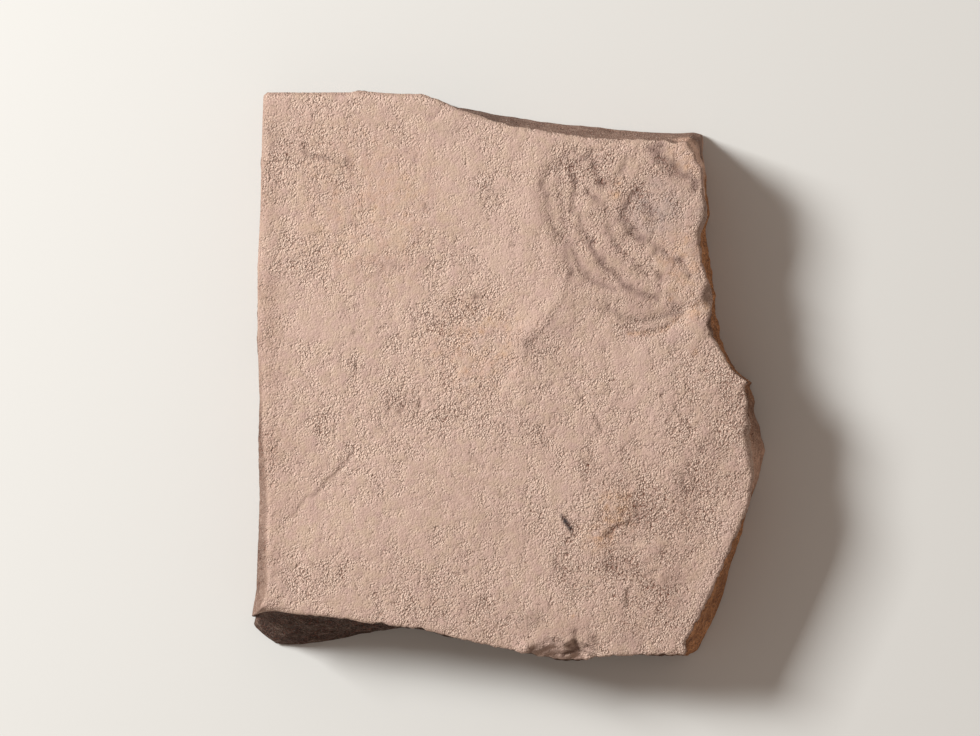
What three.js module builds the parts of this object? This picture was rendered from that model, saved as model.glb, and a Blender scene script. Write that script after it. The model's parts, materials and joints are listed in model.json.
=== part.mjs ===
// A broken slab of fine sandstone that carries the faint, fan-shaped print of a fossil.
//
// The stone is one piece, lying face up. X runs across the face, Y up it and Z out of it, in
// millimetres. The back is flat and lies at z = 0, and the origin is under the middle of the slab.
//
// The slab is built from the outside in. The shoulder is the outline where the upper face turns
// into the broken sides. From each of its points one column of vertices runs down the side to the
// foot, and one short bevel runs in to the rim of the face. The face itself is a grid stretched
// between four edges, with its lines closer together where the fossil lies.

import * as THREE from 'three';

// Driving dimensions.
const THICKNESS = 24;
const COLUMN_SPACING = 3.2;
const FOOT_ROUNDING = 0.9;
// The face lies this far below the full thickness, so that its highest waves just reach it.
const WAVE_ALLOWANCE = 1;
// The rim sits a little lower than the face, and the face grid stops this far inside it.
const RIM_SINK = 0.25;
const RIM_MARGIN = 1.6;
// Half the side of the square that the back is divided around.
const BACK_SQUARE_HALF = 30;

// The shoulder of each edge, walked anticlockwise from the lower left corner.
const BOTTOM_EDGE = [
  [-67.9, -63.9], [-65.4, -62.5], [-61.9, -62.1], [-54.6, -63.2], [-46.5, -63.8], [-37.1, -65.4],
  [-28.5, -66.4], [-22.4, -67.2], [-12.3, -69.8], [-1.5, -72.3], [5.5, -73.9], [13.7, -75.0],
  [20.7, -75.4], [23.2, -74.5], [29.6, -74.1], [47.1, -73.8],
];
const RIGHT_EDGE = [
  [47.4, -72.5], [47.0, -70.6], [48.8, -67.6], [51.3, -62.8], [54.9, -55.3], [58.1, -48.0],
  [61.9, -39.1], [64.0, -33.9], [65.3, -27.5], [65.1, -24.3], [64.4, -18.7], [63.8, -15.5],
  [64.4, -12.9], [63.5, -9.1], [64.0, -6.8], [62.8, -2.8], [63.8, -1.7], [61.2, 0.1],
  [59.6, 1.7], [56.2, 7.4], [54.6, 10.6], [53.9, 15.8], [54.1, 19.0], [54.4, 21.0],
  [53.3, 24.8], [51.7, 29.6], [51.0, 35.9], [51.4, 38.5], [53.0, 42.2], [52.9, 44.1],
  [51.9, 47.5], [51.8, 50.9], [51.4, 55.2], [49.9, 57.0],
];
const TOP_EDGE = [
  [49.6, 58.9], [48.5, 60.1], [47.3, 62.0], [40.1, 62.6], [26.7, 62.7], [16.4, 63.9], [3.2, 66.0],
  [-2.1, 67.1], [-9.0, 69.4], [-13.3, 70.8], [-18.2, 73.1], [-22.7, 74.7], [-30.1, 74.7],
  [-36.4, 75.2], [-39.6, 75.5], [-41.7, 75.0], [-63.7, 75.0],
];
const LEFT_EDGE = [
  [-64.7, 74.1], [-64.9, 68.6], [-65.2, 58.6], [-65.5, 44.4], [-66.3, 28.5], [-66.3, 9.5],
  [-65.8, -6.3], [-66.1, -18.2], [-65.7, -32.7], [-66.3, -48.6], [-66.6, -56.7], [-67.4, -61.5],
];

// How the sides change around the slab: [bearing in degrees from +X, millimetres].
// The foot spreads beyond the shoulder where the break slopes outward.
const FOOT_SPREAD = [
  [0, 1.5], [3, 1.1], [6, 1.3], [10, 2.2], [12, 2.6], [18, 2.1], [21, 1.5], [26, 2.6], [30, 3.9],
  [35, 3.4], [37, 2.4], [39.5, 1.2], [43, 2.0], [47, 2.2], [49.6, 4.4], [51.1, 6.2], [52.7, 4.3],
  [55, 3.4], [58, 3.0], [62, 3.2], [68, 3.9], [74, 3.6], [82, 3.0], [89, 3.2], [94, 2.5], [99, 2.1],
  [103, 1.6], [131, 1.0], [218, 1.0], [223.3, 1.6], [223.8, 4.5], [224.4, 7.5], [225.1, 9.2],
  [227, 11.5], [229, 13.3], [231, 13.2], [233, 12.2], [235, 10.7], [239, 7.4], [241, 5.2],
  [243, 4.3], [246, 2.4], [248, 1.5], [253, 1.2], [300, 1.1], [302.5, 1.3], [303.2, 2.6],
  [303.7, 5.0], [304.5, 5.7], [307, 5.4], [310, 5.4], [315, 5.0], [319, 3.7], [323, 2.6],
  [328, 1.9], [333, 1.8], [337, 2.9], [340, 4.5], [343, 6.1], [344.5, 6.5], [346, 5.8],
  [349, 4.2], [353, 3.0], [357, 2.5], [359, 1.6],
];
const BEVEL_WIDTH = [
  [0, 0.6], [9, 0.6], [12, 1.7], [15, 1.4], [18, 0.6], [20, 2.9], [22, 3.2], [24, 0.6],
  [34, 0.6], [38, 2.0], [41, 0.6], [190, 0.6], [197, 1.4], [206, 2.1], [216, 2.6], [221, 4.2],
  [224, 1.5], [230, 0.6], [274, 0.6], [276, 2.4], [279, 5.0], [283, 4.8], [284, 7.4],
  [285, 5.2], [287, 4.8], [288, 0.6], [330, 0.6], [345, 1.6], [352, 0.8],
];
const BEVEL_DROP = [
  [0, 0.8], [9, 0.8], [12, 2.0], [15, 1.8], [18, 0.8], [20, 2.6], [22, 2.8], [24, 0.8],
  [34, 0.8], [38, 2.2], [41, 0.8], [190, 0.8], [197, 1.5], [206, 2.0], [216, 2.4], [221, 3.2],
  [224, 1.4], [230, 0.8], [274, 0.8], [276, 3.0], [279, 4.6], [284, 5.0], [287, 4.0],
  [288, 0.9], [330, 0.8], [345, 1.8], [352, 1.0],
];
// How deeply the beds of the stone are cut back between their ledges.
const LEDGE_DEPTH = [
  [0, 1.3], [30, 1.0], [50, 0.5], [60, 0.3], [95, 0.3], [105, 2.2], [180, 2.6], [220, 1.6],
  [230, 1.8], [250, 2.2], [298, 2.4], [306, 1.0], [330, 1.2], [345, 1.5],
];

// The beds, as fractions of the thickness between the shoulder and the foot.
const BEDS = [
  { top: 0.95, bottom: 0.7, seed: 21 },
  { top: 0.67, bottom: 0.36, seed: 57 },
  { top: 0.33, bottom: 0.05, seed: 94 },
];
const SHORTEST_BITE = 4;
const LONGEST_BITE = 12;

// The fossil: grooves nested one inside the other, open towards the upper right.
const FAN_GROOVES = [
  [[10.6, 54.6], [9.1, 50.7], [11.4, 42.8], [13.5, 38.0], [14.8, 32.7], [16.9, 27.5], [18.7, 23.2]],
  [[18.2, 59.4], [14.5, 56.5], [13.5, 52.3], [14.5, 40.7], [18.5, 30.4], [23.5, 24.0], [28.0, 22.7]],
  [[22.2, 58.9], [16.9, 54.6], [17.7, 51.2], [16.9, 44.1], [22.2, 34.1], [28.8, 26.1], [36.4, 21.1],
    [41.2, 20.3]],
  [[23.0, 54.9], [21.1, 48.8], [25.1, 45.4], [26.4, 39.9], [28.2, 35.1], [33.5, 29.3], [40.1, 26.4]],
  [[38.3, 50.2], [33.5, 48.3], [31.4, 45.1], [30.6, 41.2], [33.5, 37.5], [40.1, 34.1], [46.5, 29.8]],
  [[24.0, 22.7], [25.9, 18.5], [29.8, 16.1], [33.5, 14.8], [38.3, 15.3], [45.4, 16.9]],
];
const GROOVE_DEPTH = 0.45;
const GROOVE_WIDTH = 1.3;

// Two long marks beside the fossil: a smooth fold to its lower left and a crack under it.
const FOLD_LINE = [[16.1, 20.9], [11.4, 13.7], [5.8, 8.4], [5.0, 4.0]];
const FOLD_HEIGHT = 0.5;
const FOLD_WIDTH = 3.4;
const CRACK_LINE = [[31.7, 11.4], [37.8, 12.1], [41.2, 13.3], [47.0, 17.2]];
const CRACK_DEPTH = 0.6;
const CRACK_WIDTH = 1.2;

// Long waves that the current left in the bed: height in mm, and how fast they turn along x and y.
const RIPPLE = { height: 0.35, acrossLength: 17, upwardLength: 21, acrossStart: 0.8, upwardStart: -0.5 };
const SWELL = { height: 0.3, length: 33, slant: 2 };

// The face grid: counts of cells in its plain part and in its close part.
const ACROSS = { plain: 22, close: 25, meet: 0.6 };
const UPWARD = { plain: 24, close: 29, meet: 0.6 };

const DEGREES = 180 / Math.PI;
const FULL_TURN = 360;

function bearingOf(x, y) {
  return (Math.atan2(y, x) * DEGREES + FULL_TURN) % FULL_TURN;
}

// Reads a [bearing, value] list at any bearing, around the full turn.
function atBearing(list, bearing) {
  const last = list.length - 1;
  let before = [list[last][0] - FULL_TURN, list[last][1]];
  for (const entry of [...list, [list[0][0] + FULL_TURN, list[0][1]]]) {
    if (bearing < entry[0]) {
      const t = (bearing - before[0]) / (entry[0] - before[0]);
      return before[1] + (entry[1] - before[1]) * t;
    }
    before = entry;
  }
  return before[1];
}

function distanceToLine(x, y, points) {
  let nearest = Infinity;
  for (let i = 0; i + 1 < points.length; i += 1) {
    const [ax, ay] = points[i];
    const dx = points[i + 1][0] - ax;
    const dy = points[i + 1][1] - ay;
    const along = ((x - ax) * dx + (y - ay) * dy) / (dx * dx + dy * dy);
    const t = Math.min(Math.max(along, 0), 1);
    nearest = Math.min(nearest, Math.hypot(x - ax - t * dx, y - ay - t * dy));
  }
  return nearest;
}

function bell(distance, width) {
  return Math.exp(-((distance / width) ** 2));
}

// The print leaves a low rib between each two grooves.
function fanRelief(x, y) {
  const depths = FAN_GROOVES.map((line) => bell(distanceToLine(x, y, line), GROOVE_WIDTH));
  return -GROOVE_DEPTH * Math.max(...depths);
}

// Height of the face above its own plane: long waves of the bedding, the fossil and its marks.
function faceRelief(x, y) {
  const along = Math.sin(x / RIPPLE.acrossLength + RIPPLE.acrossStart);
  const ripple = RIPPLE.height * along * Math.cos(y / RIPPLE.upwardLength + RIPPLE.upwardStart);
  const swell = SWELL.height * Math.sin((x + SWELL.slant * y) / SWELL.length);
  const fold = FOLD_HEIGHT * bell(distanceToLine(x, y, FOLD_LINE), FOLD_WIDTH);
  const crack = CRACK_DEPTH * bell(distanceToLine(x, y, CRACK_LINE), CRACK_WIDTH);
  return ripple + swell + fold - crack + fanRelief(x, y);
}

function faceHeight(x, y) {
  return THICKNESS - WAVE_ALLOWANCE + faceRelief(x, y);
}

// Adds points to a closed outline until no stretch of it is longer than the column spacing.
function divideOutline(outline) {
  const points = [];
  outline.forEach(([ax, ay], i) => {
    const [bx, by] = outline[(i + 1) % outline.length];
    const pieces = Math.ceil(Math.hypot(bx - ax, by - ay) / COLUMN_SPACING);
    for (let k = 0; k < pieces; k += 1) {
      points.push([ax + (bx - ax) * k / pieces, ay + (by - ay) * k / pieces]);
    }
  });
  return points;
}

// Moves a point along its own bearing, away from the middle of the slab.
function moveOut([x, y], distance) {
  const scale = 1 + distance / Math.hypot(x, y);
  return [x * scale, y * scale];
}

// A repeatable stream of numbers between 0 and 1.
function numberStream(seed) {
  const modulus = 2147483647;
  const multiplier = 16807;
  let state = seed;
  return () => {
    state = (state * multiplier) % modulus;
    return state / modulus;
  };
}

// The bites out of one bed: [bearing, share of the ledge depth], at uneven steps around it.
function bedBites({ seed }) {
  const next = numberStream(seed);
  const bites = [];
  let bearing = 0;
  while (bearing < FULL_TURN - SHORTEST_BITE) {
    bites.push([bearing, next()]);
    bearing += SHORTEST_BITE + (LONGEST_BITE - SHORTEST_BITE) * next();
  }
  return bites;
}

const BITES = BEDS.map(bedBites);

// One column of the side, from the rim of the face down to the foot.
function sideColumn(point) {
  const bearing = bearingOf(point[0], point[1]);
  const spread = atBearing(FOOT_SPREAD, bearing);
  const ledge = atBearing(LEDGE_DEPTH, bearing);
  const rim = moveOut(point, -atBearing(BEVEL_WIDTH, bearing));
  const rimHeight = faceHeight(rim[0], rim[1]) - RIM_SINK;
  const shoulderHeight = rimHeight - atBearing(BEVEL_DROP, bearing);
  const column = [[...rim, rimHeight], [...point, shoulderHeight]];
  let reach = 0;
  BEDS.forEach((bed, i) => {
    for (const level of [bed.top, bed.bottom]) {
      reach = spread * (1 - level) - ledge * atBearing(BITES[i], bearing);
      column.push([...moveOut(point, reach), shoulderHeight * level]);
    }
  });
  column.push([...moveOut(point, reach - FOOT_ROUNDING), 0]);
  return column;
}

// Turns a list of column points into rings: ring 0 is the rim and the last ring is the foot.
function sideRings(points) {
  const columns = points.map(sideColumn);
  return columns[0].map((unused, level) => columns.map((column) => column[level]));
}

// A point at a fraction of the length of an open line.
function alongLine(line, fraction) {
  const steps = line.slice(1).map(([x, y], i) => Math.hypot(x - line[i][0], y - line[i][1]));
  let left = fraction * steps.reduce((sum, step) => sum + step, 0);
  let i = 0;
  while (i < steps.length - 1 && left > steps[i]) {
    left -= steps[i];
    i += 1;
  }
  const t = Math.min(left / steps[i], 1);
  return [0, 1].map((axis) => line[i][axis] + (line[i + 1][axis] - line[i][axis]) * t);
}

// Grid stations from 0 to 1, closer together past the place where the two parts meet.
function stations({ plain, close, meet }) {
  const list = [];
  for (let i = 0; i < plain; i += 1) {
    list.push(meet * i / plain);
  }
  for (let i = 0; i <= close; i += 1) {
    list.push(meet + (1 - meet) * i / close);
  }
  return list;
}

// The face grid, stretched between the four edges drawn in from the rim.
function faceGrid() {
  const drawIn = (point) => {
    const bevel = atBearing(BEVEL_WIDTH, bearingOf(point[0], point[1]));
    return moveOut(point, -bevel - RIM_MARGIN);
  };
  const bottom = [...BOTTOM_EDGE, RIGHT_EDGE[0]].map(drawIn);
  const right = [...RIGHT_EDGE, TOP_EDGE[0]].map(drawIn);
  const top = [...TOP_EDGE, LEFT_EDGE[0]].map(drawIn).reverse();
  const left = [...LEFT_EDGE, BOTTOM_EDGE[0]].map(drawIn).reverse();
  return stations(UPWARD).map((v) => stations(ACROSS).map((u) => {
    const blend = [0, 1].map((axis) => {
      const rows = (1 - v) * alongLine(bottom, u)[axis] + v * alongLine(top, u)[axis];
      const ranks = (1 - u) * alongLine(left, v)[axis] + u * alongLine(right, v)[axis];
      const low = (1 - u) * bottom[0][axis] + u * right[0][axis];
      const high = (1 - u) * top[0][axis] + u * top[top.length - 1][axis];
      return rows + ranks - (1 - v) * low - v * high;
    });
    return [...blend, faceHeight(blend[0], blend[1])];
  }));
}

// Collects triangles as a flat list of corner positions.
class Skin {
  constructor() {
    this.corners = [];
  }

  triangle(a, b, c) {
    this.corners.push(...a, ...b, ...c);
  }

  // Joins two closed rings of equal counts, the upper one first, both anticlockwise.
  band(upper, lower) {
    for (let i = 0; i < upper.length; i += 1) {
      const j = (i + 1) % upper.length;
      this.triangle(upper[i], lower[i], lower[j]);
      this.triangle(upper[i], lower[j], upper[j]);
    }
  }

  // Joins two closed rings of different counts by always taking the shorter step.
  zip(inner, outer) {
    const gap = (a, b) => Math.hypot(a[0] - b[0], a[1] - b[1]);
    let start = 0;
    outer.forEach((point, k) => {
      start = gap(point, inner[0]) < gap(outer[start], inner[0]) ? k : start;
    });
    let i = 0;
    let k = 0;
    while (i < inner.length || k < outer.length) {
      const a = inner[i % inner.length];
      const b = outer[(start + k) % outer.length];
      const nextA = inner[(i + 1) % inner.length];
      const nextB = outer[(start + k + 1) % outer.length];
      if (k >= outer.length || (i < inner.length && gap(nextA, b) < gap(a, nextB))) {
        this.triangle(a, b, nextA);
        i += 1;
      } else {
        this.triangle(a, b, nextB);
        k += 1;
      }
    }
  }

  grid(rows) {
    for (let v = 0; v + 1 < rows.length; v += 1) {
      for (let u = 0; u + 1 < rows[v].length; u += 1) {
        this.triangle(rows[v][u], rows[v][u + 1], rows[v + 1][u + 1]);
        this.triangle(rows[v][u], rows[v + 1][u + 1], rows[v + 1][u]);
      }
    }
  }

  // Closes the back: a square in the middle, and triangles between it and the foot.
  back(foot, halfSquare) {
    const square = [[-1, -1], [1, -1], [1, 1], [-1, 1]];
    const corners = square.map(([x, y]) => [x * halfSquare, y * halfSquare, 0]);
    const flat = (ring) => ring.map(([x, y]) => new THREE.Vector2(x, y));
    const all = [...foot, ...corners];
    for (const [a, b, c] of THREE.ShapeUtils.triangulateShape(flat(foot), [flat(corners)])) {
      const turn = (all[b][0] - all[a][0]) * (all[c][1] - all[a][1])
        - (all[b][1] - all[a][1]) * (all[c][0] - all[a][0]);
      this.triangle(all[a], turn > 0 ? all[c] : all[b], turn > 0 ? all[b] : all[c]);
    }
    this.triangle(corners[0], corners[2], corners[1]);
    this.triangle(corners[0], corners[3], corners[2]);
  }

  geometry() {
    const geometry = new THREE.BufferGeometry();
    geometry.setAttribute('position', new THREE.Float32BufferAttribute(this.corners, 3));
    geometry.computeVertexNormals();
    return geometry;
  }
}

// The border of the face grid, anticlockwise.
function gridBorder(rows) {
  const last = rows.length - 1;
  const end = rows[0].length - 1;
  const up = rows.slice(0, last).map((row) => row[end]);
  const down = rows.slice(1).map((row) => row[0]).reverse();
  return [...rows[0].slice(0, end), ...up, ...rows[last].slice(1).reverse(), ...down];
}

function slabGeometry() {
  const shoulder = divideOutline([...BOTTOM_EDGE, ...RIGHT_EDGE, ...TOP_EDGE, ...LEFT_EDGE]);
  const rings = sideRings(shoulder);
  const rows = faceGrid();
  const skin = new Skin();
  skin.grid(rows);
  skin.zip(gridBorder(rows), rings[0]);
  for (let level = 0; level + 1 < rings.length; level += 1) {
    skin.band(rings[level], rings[level + 1]);
  }
  skin.back(rings[rings.length - 1], BACK_SQUARE_HALF);
  return skin.geometry();
}

// Puts the origin under the middle of the slab's own box.
function centred(geometry) {
  geometry.computeBoundingBox();
  const middle = geometry.boundingBox.getCenter(new THREE.Vector3());
  return geometry.translate(-middle.x, -middle.y, -geometry.boundingBox.min.z);
}

const sandstone = new THREE.MeshStandardMaterial({ color: 0xbc9f8e, roughness: 0.92, metalness: 0 });

const slab = new THREE.Mesh(centred(slabGeometry()), sandstone);
slab.name = 'slab';

const fossil = new THREE.Group();
fossil.name = 'fossil_slab';
fossil.add(slab);

export default fossil;
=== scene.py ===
# %% [markdown]
# # A slab of sandstone with the print of a fossil
#
# The real object is one broken slab of fine, pinkish sandstone. Its upper face parted along a
# bed of sand, so it is nearly flat and finely pitted, and its sides broke across the beds. Near one
# corner the face carries a faint fan of curved ribs.
#
# A stone has no seams or moving pieces, so one closed mesh is the honest model. It could be made
# by adding noise to a subdivided block, but then its edges would wander from the measured solid.
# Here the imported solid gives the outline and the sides, and a finer skin is laid over it. Lengths
# are worked out in millimetres, and turned into metres when the mesh is made.

# %% Load the measured solid
import json
import math

import bmesh
import bpy
import numpy as np
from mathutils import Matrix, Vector
from mathutils.bvhtree import BVHTree

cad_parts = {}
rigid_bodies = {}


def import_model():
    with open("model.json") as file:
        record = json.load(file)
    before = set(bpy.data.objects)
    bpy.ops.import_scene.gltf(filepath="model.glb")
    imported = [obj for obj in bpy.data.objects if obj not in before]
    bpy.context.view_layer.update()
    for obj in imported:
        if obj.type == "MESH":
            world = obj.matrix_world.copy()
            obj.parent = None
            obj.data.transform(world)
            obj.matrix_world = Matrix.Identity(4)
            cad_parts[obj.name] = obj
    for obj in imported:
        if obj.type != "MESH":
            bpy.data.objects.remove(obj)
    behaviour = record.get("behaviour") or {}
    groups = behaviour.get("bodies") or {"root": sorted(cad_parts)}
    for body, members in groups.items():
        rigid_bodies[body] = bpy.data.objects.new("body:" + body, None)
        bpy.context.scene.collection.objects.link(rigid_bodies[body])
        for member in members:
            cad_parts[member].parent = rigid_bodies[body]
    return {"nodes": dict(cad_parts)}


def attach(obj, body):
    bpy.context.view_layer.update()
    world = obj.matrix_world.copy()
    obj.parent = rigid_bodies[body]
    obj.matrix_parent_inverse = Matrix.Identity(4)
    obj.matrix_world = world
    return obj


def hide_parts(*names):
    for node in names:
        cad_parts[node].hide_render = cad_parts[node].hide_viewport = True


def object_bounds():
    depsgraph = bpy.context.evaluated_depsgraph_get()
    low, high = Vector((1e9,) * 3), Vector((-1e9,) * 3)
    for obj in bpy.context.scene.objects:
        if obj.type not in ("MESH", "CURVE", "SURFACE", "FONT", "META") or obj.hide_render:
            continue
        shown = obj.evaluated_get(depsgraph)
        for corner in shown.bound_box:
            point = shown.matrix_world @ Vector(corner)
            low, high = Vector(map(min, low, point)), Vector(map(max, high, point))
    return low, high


for leftover in list(bpy.data.objects):
    bpy.data.objects.remove(leftover)
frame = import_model()
solid_low, solid_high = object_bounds()
print("solid, mm:", [round(1000 * side, 1) for side in solid_high - solid_low])

# %% [markdown]
# ## The rim
#
# The rim is where the upper face and its chipped bevels end and the broken sides begin. It could be
# traced again by hand. Reading it from the solid keeps the skin on its measured shape: along each
# bearing, rays fall on the solid from outside inwards, and the rim is the first place from which
# the stone goes on inwards no steeper than a chip does.

# %% Find the rim on the solid
MM = 0.001
BEARINGS = 1440
OUTERMOST = 100.0
OVERHEAD = 1000
RAY_STEP = 0.12
CHIP_RUN = 0.6
STEEPEST_CHIP = 1.2
LOWEST_RIM = 17.5

solid = bmesh.new()
solid.from_mesh(frame["nodes"]["slab"].data)
solid_tree = BVHTree.FromBMesh(solid)
straight_down = Vector((0, 0, -1))


def height_at(x, y):
    """Height of the solid's top in mm, or 0 beside the solid."""
    hit = solid_tree.ray_cast(Vector((x * MM, y * MM, OVERHEAD * MM)), straight_down)[0]
    return hit.z / MM if hit else 0.0


def rim_reach(bearing):
    """Distance in mm from the middle of the slab to its rim."""
    across, upward = math.cos(bearing), math.sin(bearing)
    reach = OUTERMOST
    while True:
        height = height_at(reach * across, reach * upward)
        inside = height_at((reach - CHIP_RUN) * across, (reach - CHIP_RUN) * upward)
        if height > LOWEST_RIM and inside - height < STEEPEST_CHIP * CHIP_RUN:
            return reach
        reach -= RAY_STEP


def bearing_of(x, y):
    """Degrees anticlockwise from +X."""
    return np.degrees(np.arctan2(y, x)) % 360


rim_bearings = np.arange(BEARINGS) * 2 * math.pi / BEARINGS
reaches = np.array([rim_reach(bearing) for bearing in rim_bearings])
beside_and_middle = [0.25, 0.5, 0.25]
reaches = np.convolve(np.pad(reaches, 1, mode="wrap"), beside_and_middle, mode="valid")
rim_outline = np.stack([reaches * np.cos(rim_bearings), reaches * np.sin(rim_bearings)], 1)
print("rim reach, mm:", round(float(reaches.min()), 1), "to", round(float(reaches.max()), 1))

# %% [markdown]
# ## Stations around the rim
#
# The skin of the face is a grid, so the rim is divided into four edges at its corners, and opposite
# edges get equal counts of stations. The lower right corner stands well in from the others. The
# stations lie about half a millimetre apart, which is two grains of sand. A broken rim is never a
# smooth line: small bites of sand are missing all along it, and seeded noise takes them out.

# %% Place the stations
ACROSS = 236
UPWARD = 276
PERIMETER = 2 * (ACROSS + UPWARD)
CORNER_PLACES = [(-1, -1), (0.68, -1), (1, 1), (-1, 1)]

box_corner = np.array(solid_high[:2]) / MM
corners = [int(np.argmin(np.hypot(*(rim_outline - box_corner * place).T))) for place in CORNER_PLACES]
closed_rim = np.vstack([rim_outline, rim_outline[:1]])
rim_run = np.concatenate([[0], np.cumsum(np.hypot(*np.diff(closed_rim, axis=0).T))])
rim_length = rim_run[-1]


def edge_stations(start, end, count):
    """Even places from one corner up to the next, as lengths along the rim."""
    span = (rim_run[end] - rim_run[start]) % rim_length
    return rim_run[start] + span * np.arange(count) / count


def along_rim(places):
    """The points of the rim at lengths along it."""
    return np.stack([np.interp(places % rim_length, rim_run, closed_rim[:, k]) for k in (0, 1)], 1)


station_run = np.concatenate(
    [edge_stations(corners[i], corners[(i + 1) % 4], (ACROSS, UPWARD)[i % 2]) for i in range(4)]
)
stations = along_rim(station_run)
bearings = bearing_of(stations[:, 0], stations[:, 1])
print("rim length, mm:", round(rim_length, 1), "stations:", len(stations))

# %% [markdown]
# ## Seeded noise
#
# Sandstone looks random, but it is random in known sizes: grains under half a millimetre, pits of
# one, lumps of a few, and slow waves of the bed. Filtering white noise to one size at a time gives
# each of these its own strength, and a fixed seed makes every run the same. The fields wrap round,
# so one of them can also run right around the sides.

# %% Make fields of one lump size
FIELD_STEP = 0.3
FALL_OFF = 5


def filtered(field, tall, wide):
    """A field with only its lumps of a height and width in mm left."""
    rows = np.fft.fftfreq(field.shape[0], FIELD_STEP)[:, None] * tall
    columns = np.fft.rfftfreq(field.shape[1], FIELD_STEP)[None, :] * wide
    let_through = np.exp(-FALL_OFF * (rows**2 + columns**2))
    return np.fft.irfft2(np.fft.rfft2(field) * let_through, field.shape)


def cloud(shape, size, seed, across=None):
    """Soft lumps of a size in mm, mean 0 and spread 1. across is their length along x."""
    white = np.random.default_rng(seed).standard_normal(shape)
    soft = filtered(white, size, across or size)
    return (soft - soft.mean()) / soft.std()


def dots(shape, size, share, seed):
    """Round dots of a size in mm, 1 at their middles. share is the chance of a dot in each cell."""
    chance = np.random.default_rng(seed).random(shape) < share
    lone_dot = np.zeros(shape)
    lone_dot[0, 0] = 1
    return filtered(chance.astype(float), size, size) / filtered(lone_dot, size, size).max()


def ease(low, high, value):
    """0 below low and 1 above high, with a smooth rise between them."""
    t = np.clip((value - low) / (high - low), 0, 1)
    return t * t * (3 - 2 * t)


def read(field, x, y, origin=(0.0, 0.0)):
    """A field's values at places in mm, blended between its cells."""
    column = (x - origin[0]) / FIELD_STEP
    row = (y - origin[1]) / FIELD_STEP
    c = np.floor(column).astype(int)
    r = np.floor(row).astype(int)
    u, v = column - c, row - r
    height, width = field.shape
    around = [field[(r + j) % height, (c + i) % width] for j in (0, 1) for i in (0, 1)]
    lower = around[0] * (1 - u) + around[1] * u
    upper = around[2] * (1 - u) + around[3] * u
    return lower * (1 - v) + upper * v


print("cells of a field, mm:", FIELD_STEP)

# %% Take the bites out of the rim
BITE_DEPTHS = {0.7: 0.12, 1.4: 0.08, 2.2: 0.12, 6.0: 0.12}
FIRST_BITE_SEED = 11
RAGGED_AROUND = [(0, 1), (96, 0.8), (110, 0.3), (226, 0.3), (230, 1)]
SIDE_FIELD_HEIGHT = 26
SIDE_SHAPE = (round(SIDE_FIELD_HEIGHT / FIELD_STEP), round(rim_length / FIELD_STEP))

outward = stations / np.hypot(stations[:, 0], stations[:, 1])[:, None]
bites = sum(
    depth * read(cloud(SIDE_SHAPE, size, FIRST_BITE_SEED + k), station_run, np.zeros(PERIMETER))
    for k, (size, depth) in enumerate(BITE_DEPTHS.items())
)
bites = np.abs(bites) * np.interp(bearings, *zip(*RAGGED_AROUND), period=360)
stations -= outward * bites[:, None]
print("deepest bite, mm:", round(float(bites.max()), 2))

# %% [markdown]
# ## The face grid
#
# A grid stretched straight between four ragged edges would carry every bite and chip of the rim
# right across the face as a pinched line. So the grid is stretched between calm copies of the
# edges, and what is missing to the real rim is added only within the last cells before it. Where a
# corner juts in, those cells could fold out over the rim, so they are drawn back inside it. Its
# height comes from the solid, whose large facets are softened before any fine relief goes on.

# %% Stretch the grid between calm edges
CALM_CELLS = 20
RIM_CELLS = 16
LEAST_STEP = 0.12


def four_edges(ring):
    """Bottom and top run along +X, left and right along +Y, and each has both of its corners."""
    closed = np.vstack([ring, ring[:1]])
    cuts = np.cumsum([0, ACROSS, UPWARD, ACROSS, UPWARD])
    bottom, right, top, left = (closed[cuts[i] : cuts[i + 1] + 1] for i in range(4))
    return bottom, right, top[::-1], left[::-1]


def bell(spread):
    """Weights of a bell that reaches three times its spread in cells, and sum to 1."""
    weights = np.exp(-0.5 * (np.arange(-3 * spread, 3 * spread + 1) / spread) ** 2)
    return weights / weights.sum()


def calm(edge):
    """An edge between the same corners with only its slow curves left."""
    straight = edge[0] + (edge[-1] - edge[0]) * np.linspace(0, 1, len(edge))[:, None]
    bow = edge - straight
    mirrored = np.concatenate([-bow[:0:-1], bow, -bow[-2::-1]])
    slow = np.stack([np.convolve(mirrored[:, k], bell(CALM_CELLS), mode="same") for k in (0, 1)], 1)
    return straight + slow[len(edge) - 1 : 2 * len(edge) - 1]


edges = four_edges(stations)
bottom, right, top, left = [calm(edge) for edge in edges]
share_right = np.linspace(0, 1, ACROSS + 1)[None, :, None]
share_up = np.linspace(0, 1, UPWARD + 1)[:, None, None]
between_bottom_and_top = (1 - share_up) * bottom[None] + share_up * top[None]
between_left_and_right = (1 - share_right) * left[:, None] + share_right * right[:, None]
low_corners = (1 - share_right) * bottom[0] + share_right * bottom[-1]
high_corners = (1 - share_right) * top[0] + share_right * top[-1]
flat_grid = between_bottom_and_top + between_left_and_right
flat_grid -= (1 - share_up) * low_corners
flat_grid -= share_up * high_corners
print("grid:", flat_grid.shape[:2])

# %% Add the ragged rim back
def near(cells):
    """1 at an edge of the grid, and 0 from a few cells inside it."""
    return 1 - ease(0, RIM_CELLS, cells)


ragged_bottom, ragged_right, ragged_top, ragged_left = [
    edge - slow for edge, slow in zip(edges, (bottom, right, top, left))
]
rows_up = np.arange(UPWARD + 1)
columns_across = np.arange(ACROSS + 1)
above = rows_up[:, None, None]
beside = columns_across[None, :, None]
flat_grid += ragged_bottom[None] * near(above) + ragged_top[None] * near(UPWARD - above)
flat_grid += ragged_left[:, None] * near(beside) + ragged_right[:, None] * near(ACROSS - beside)

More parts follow.
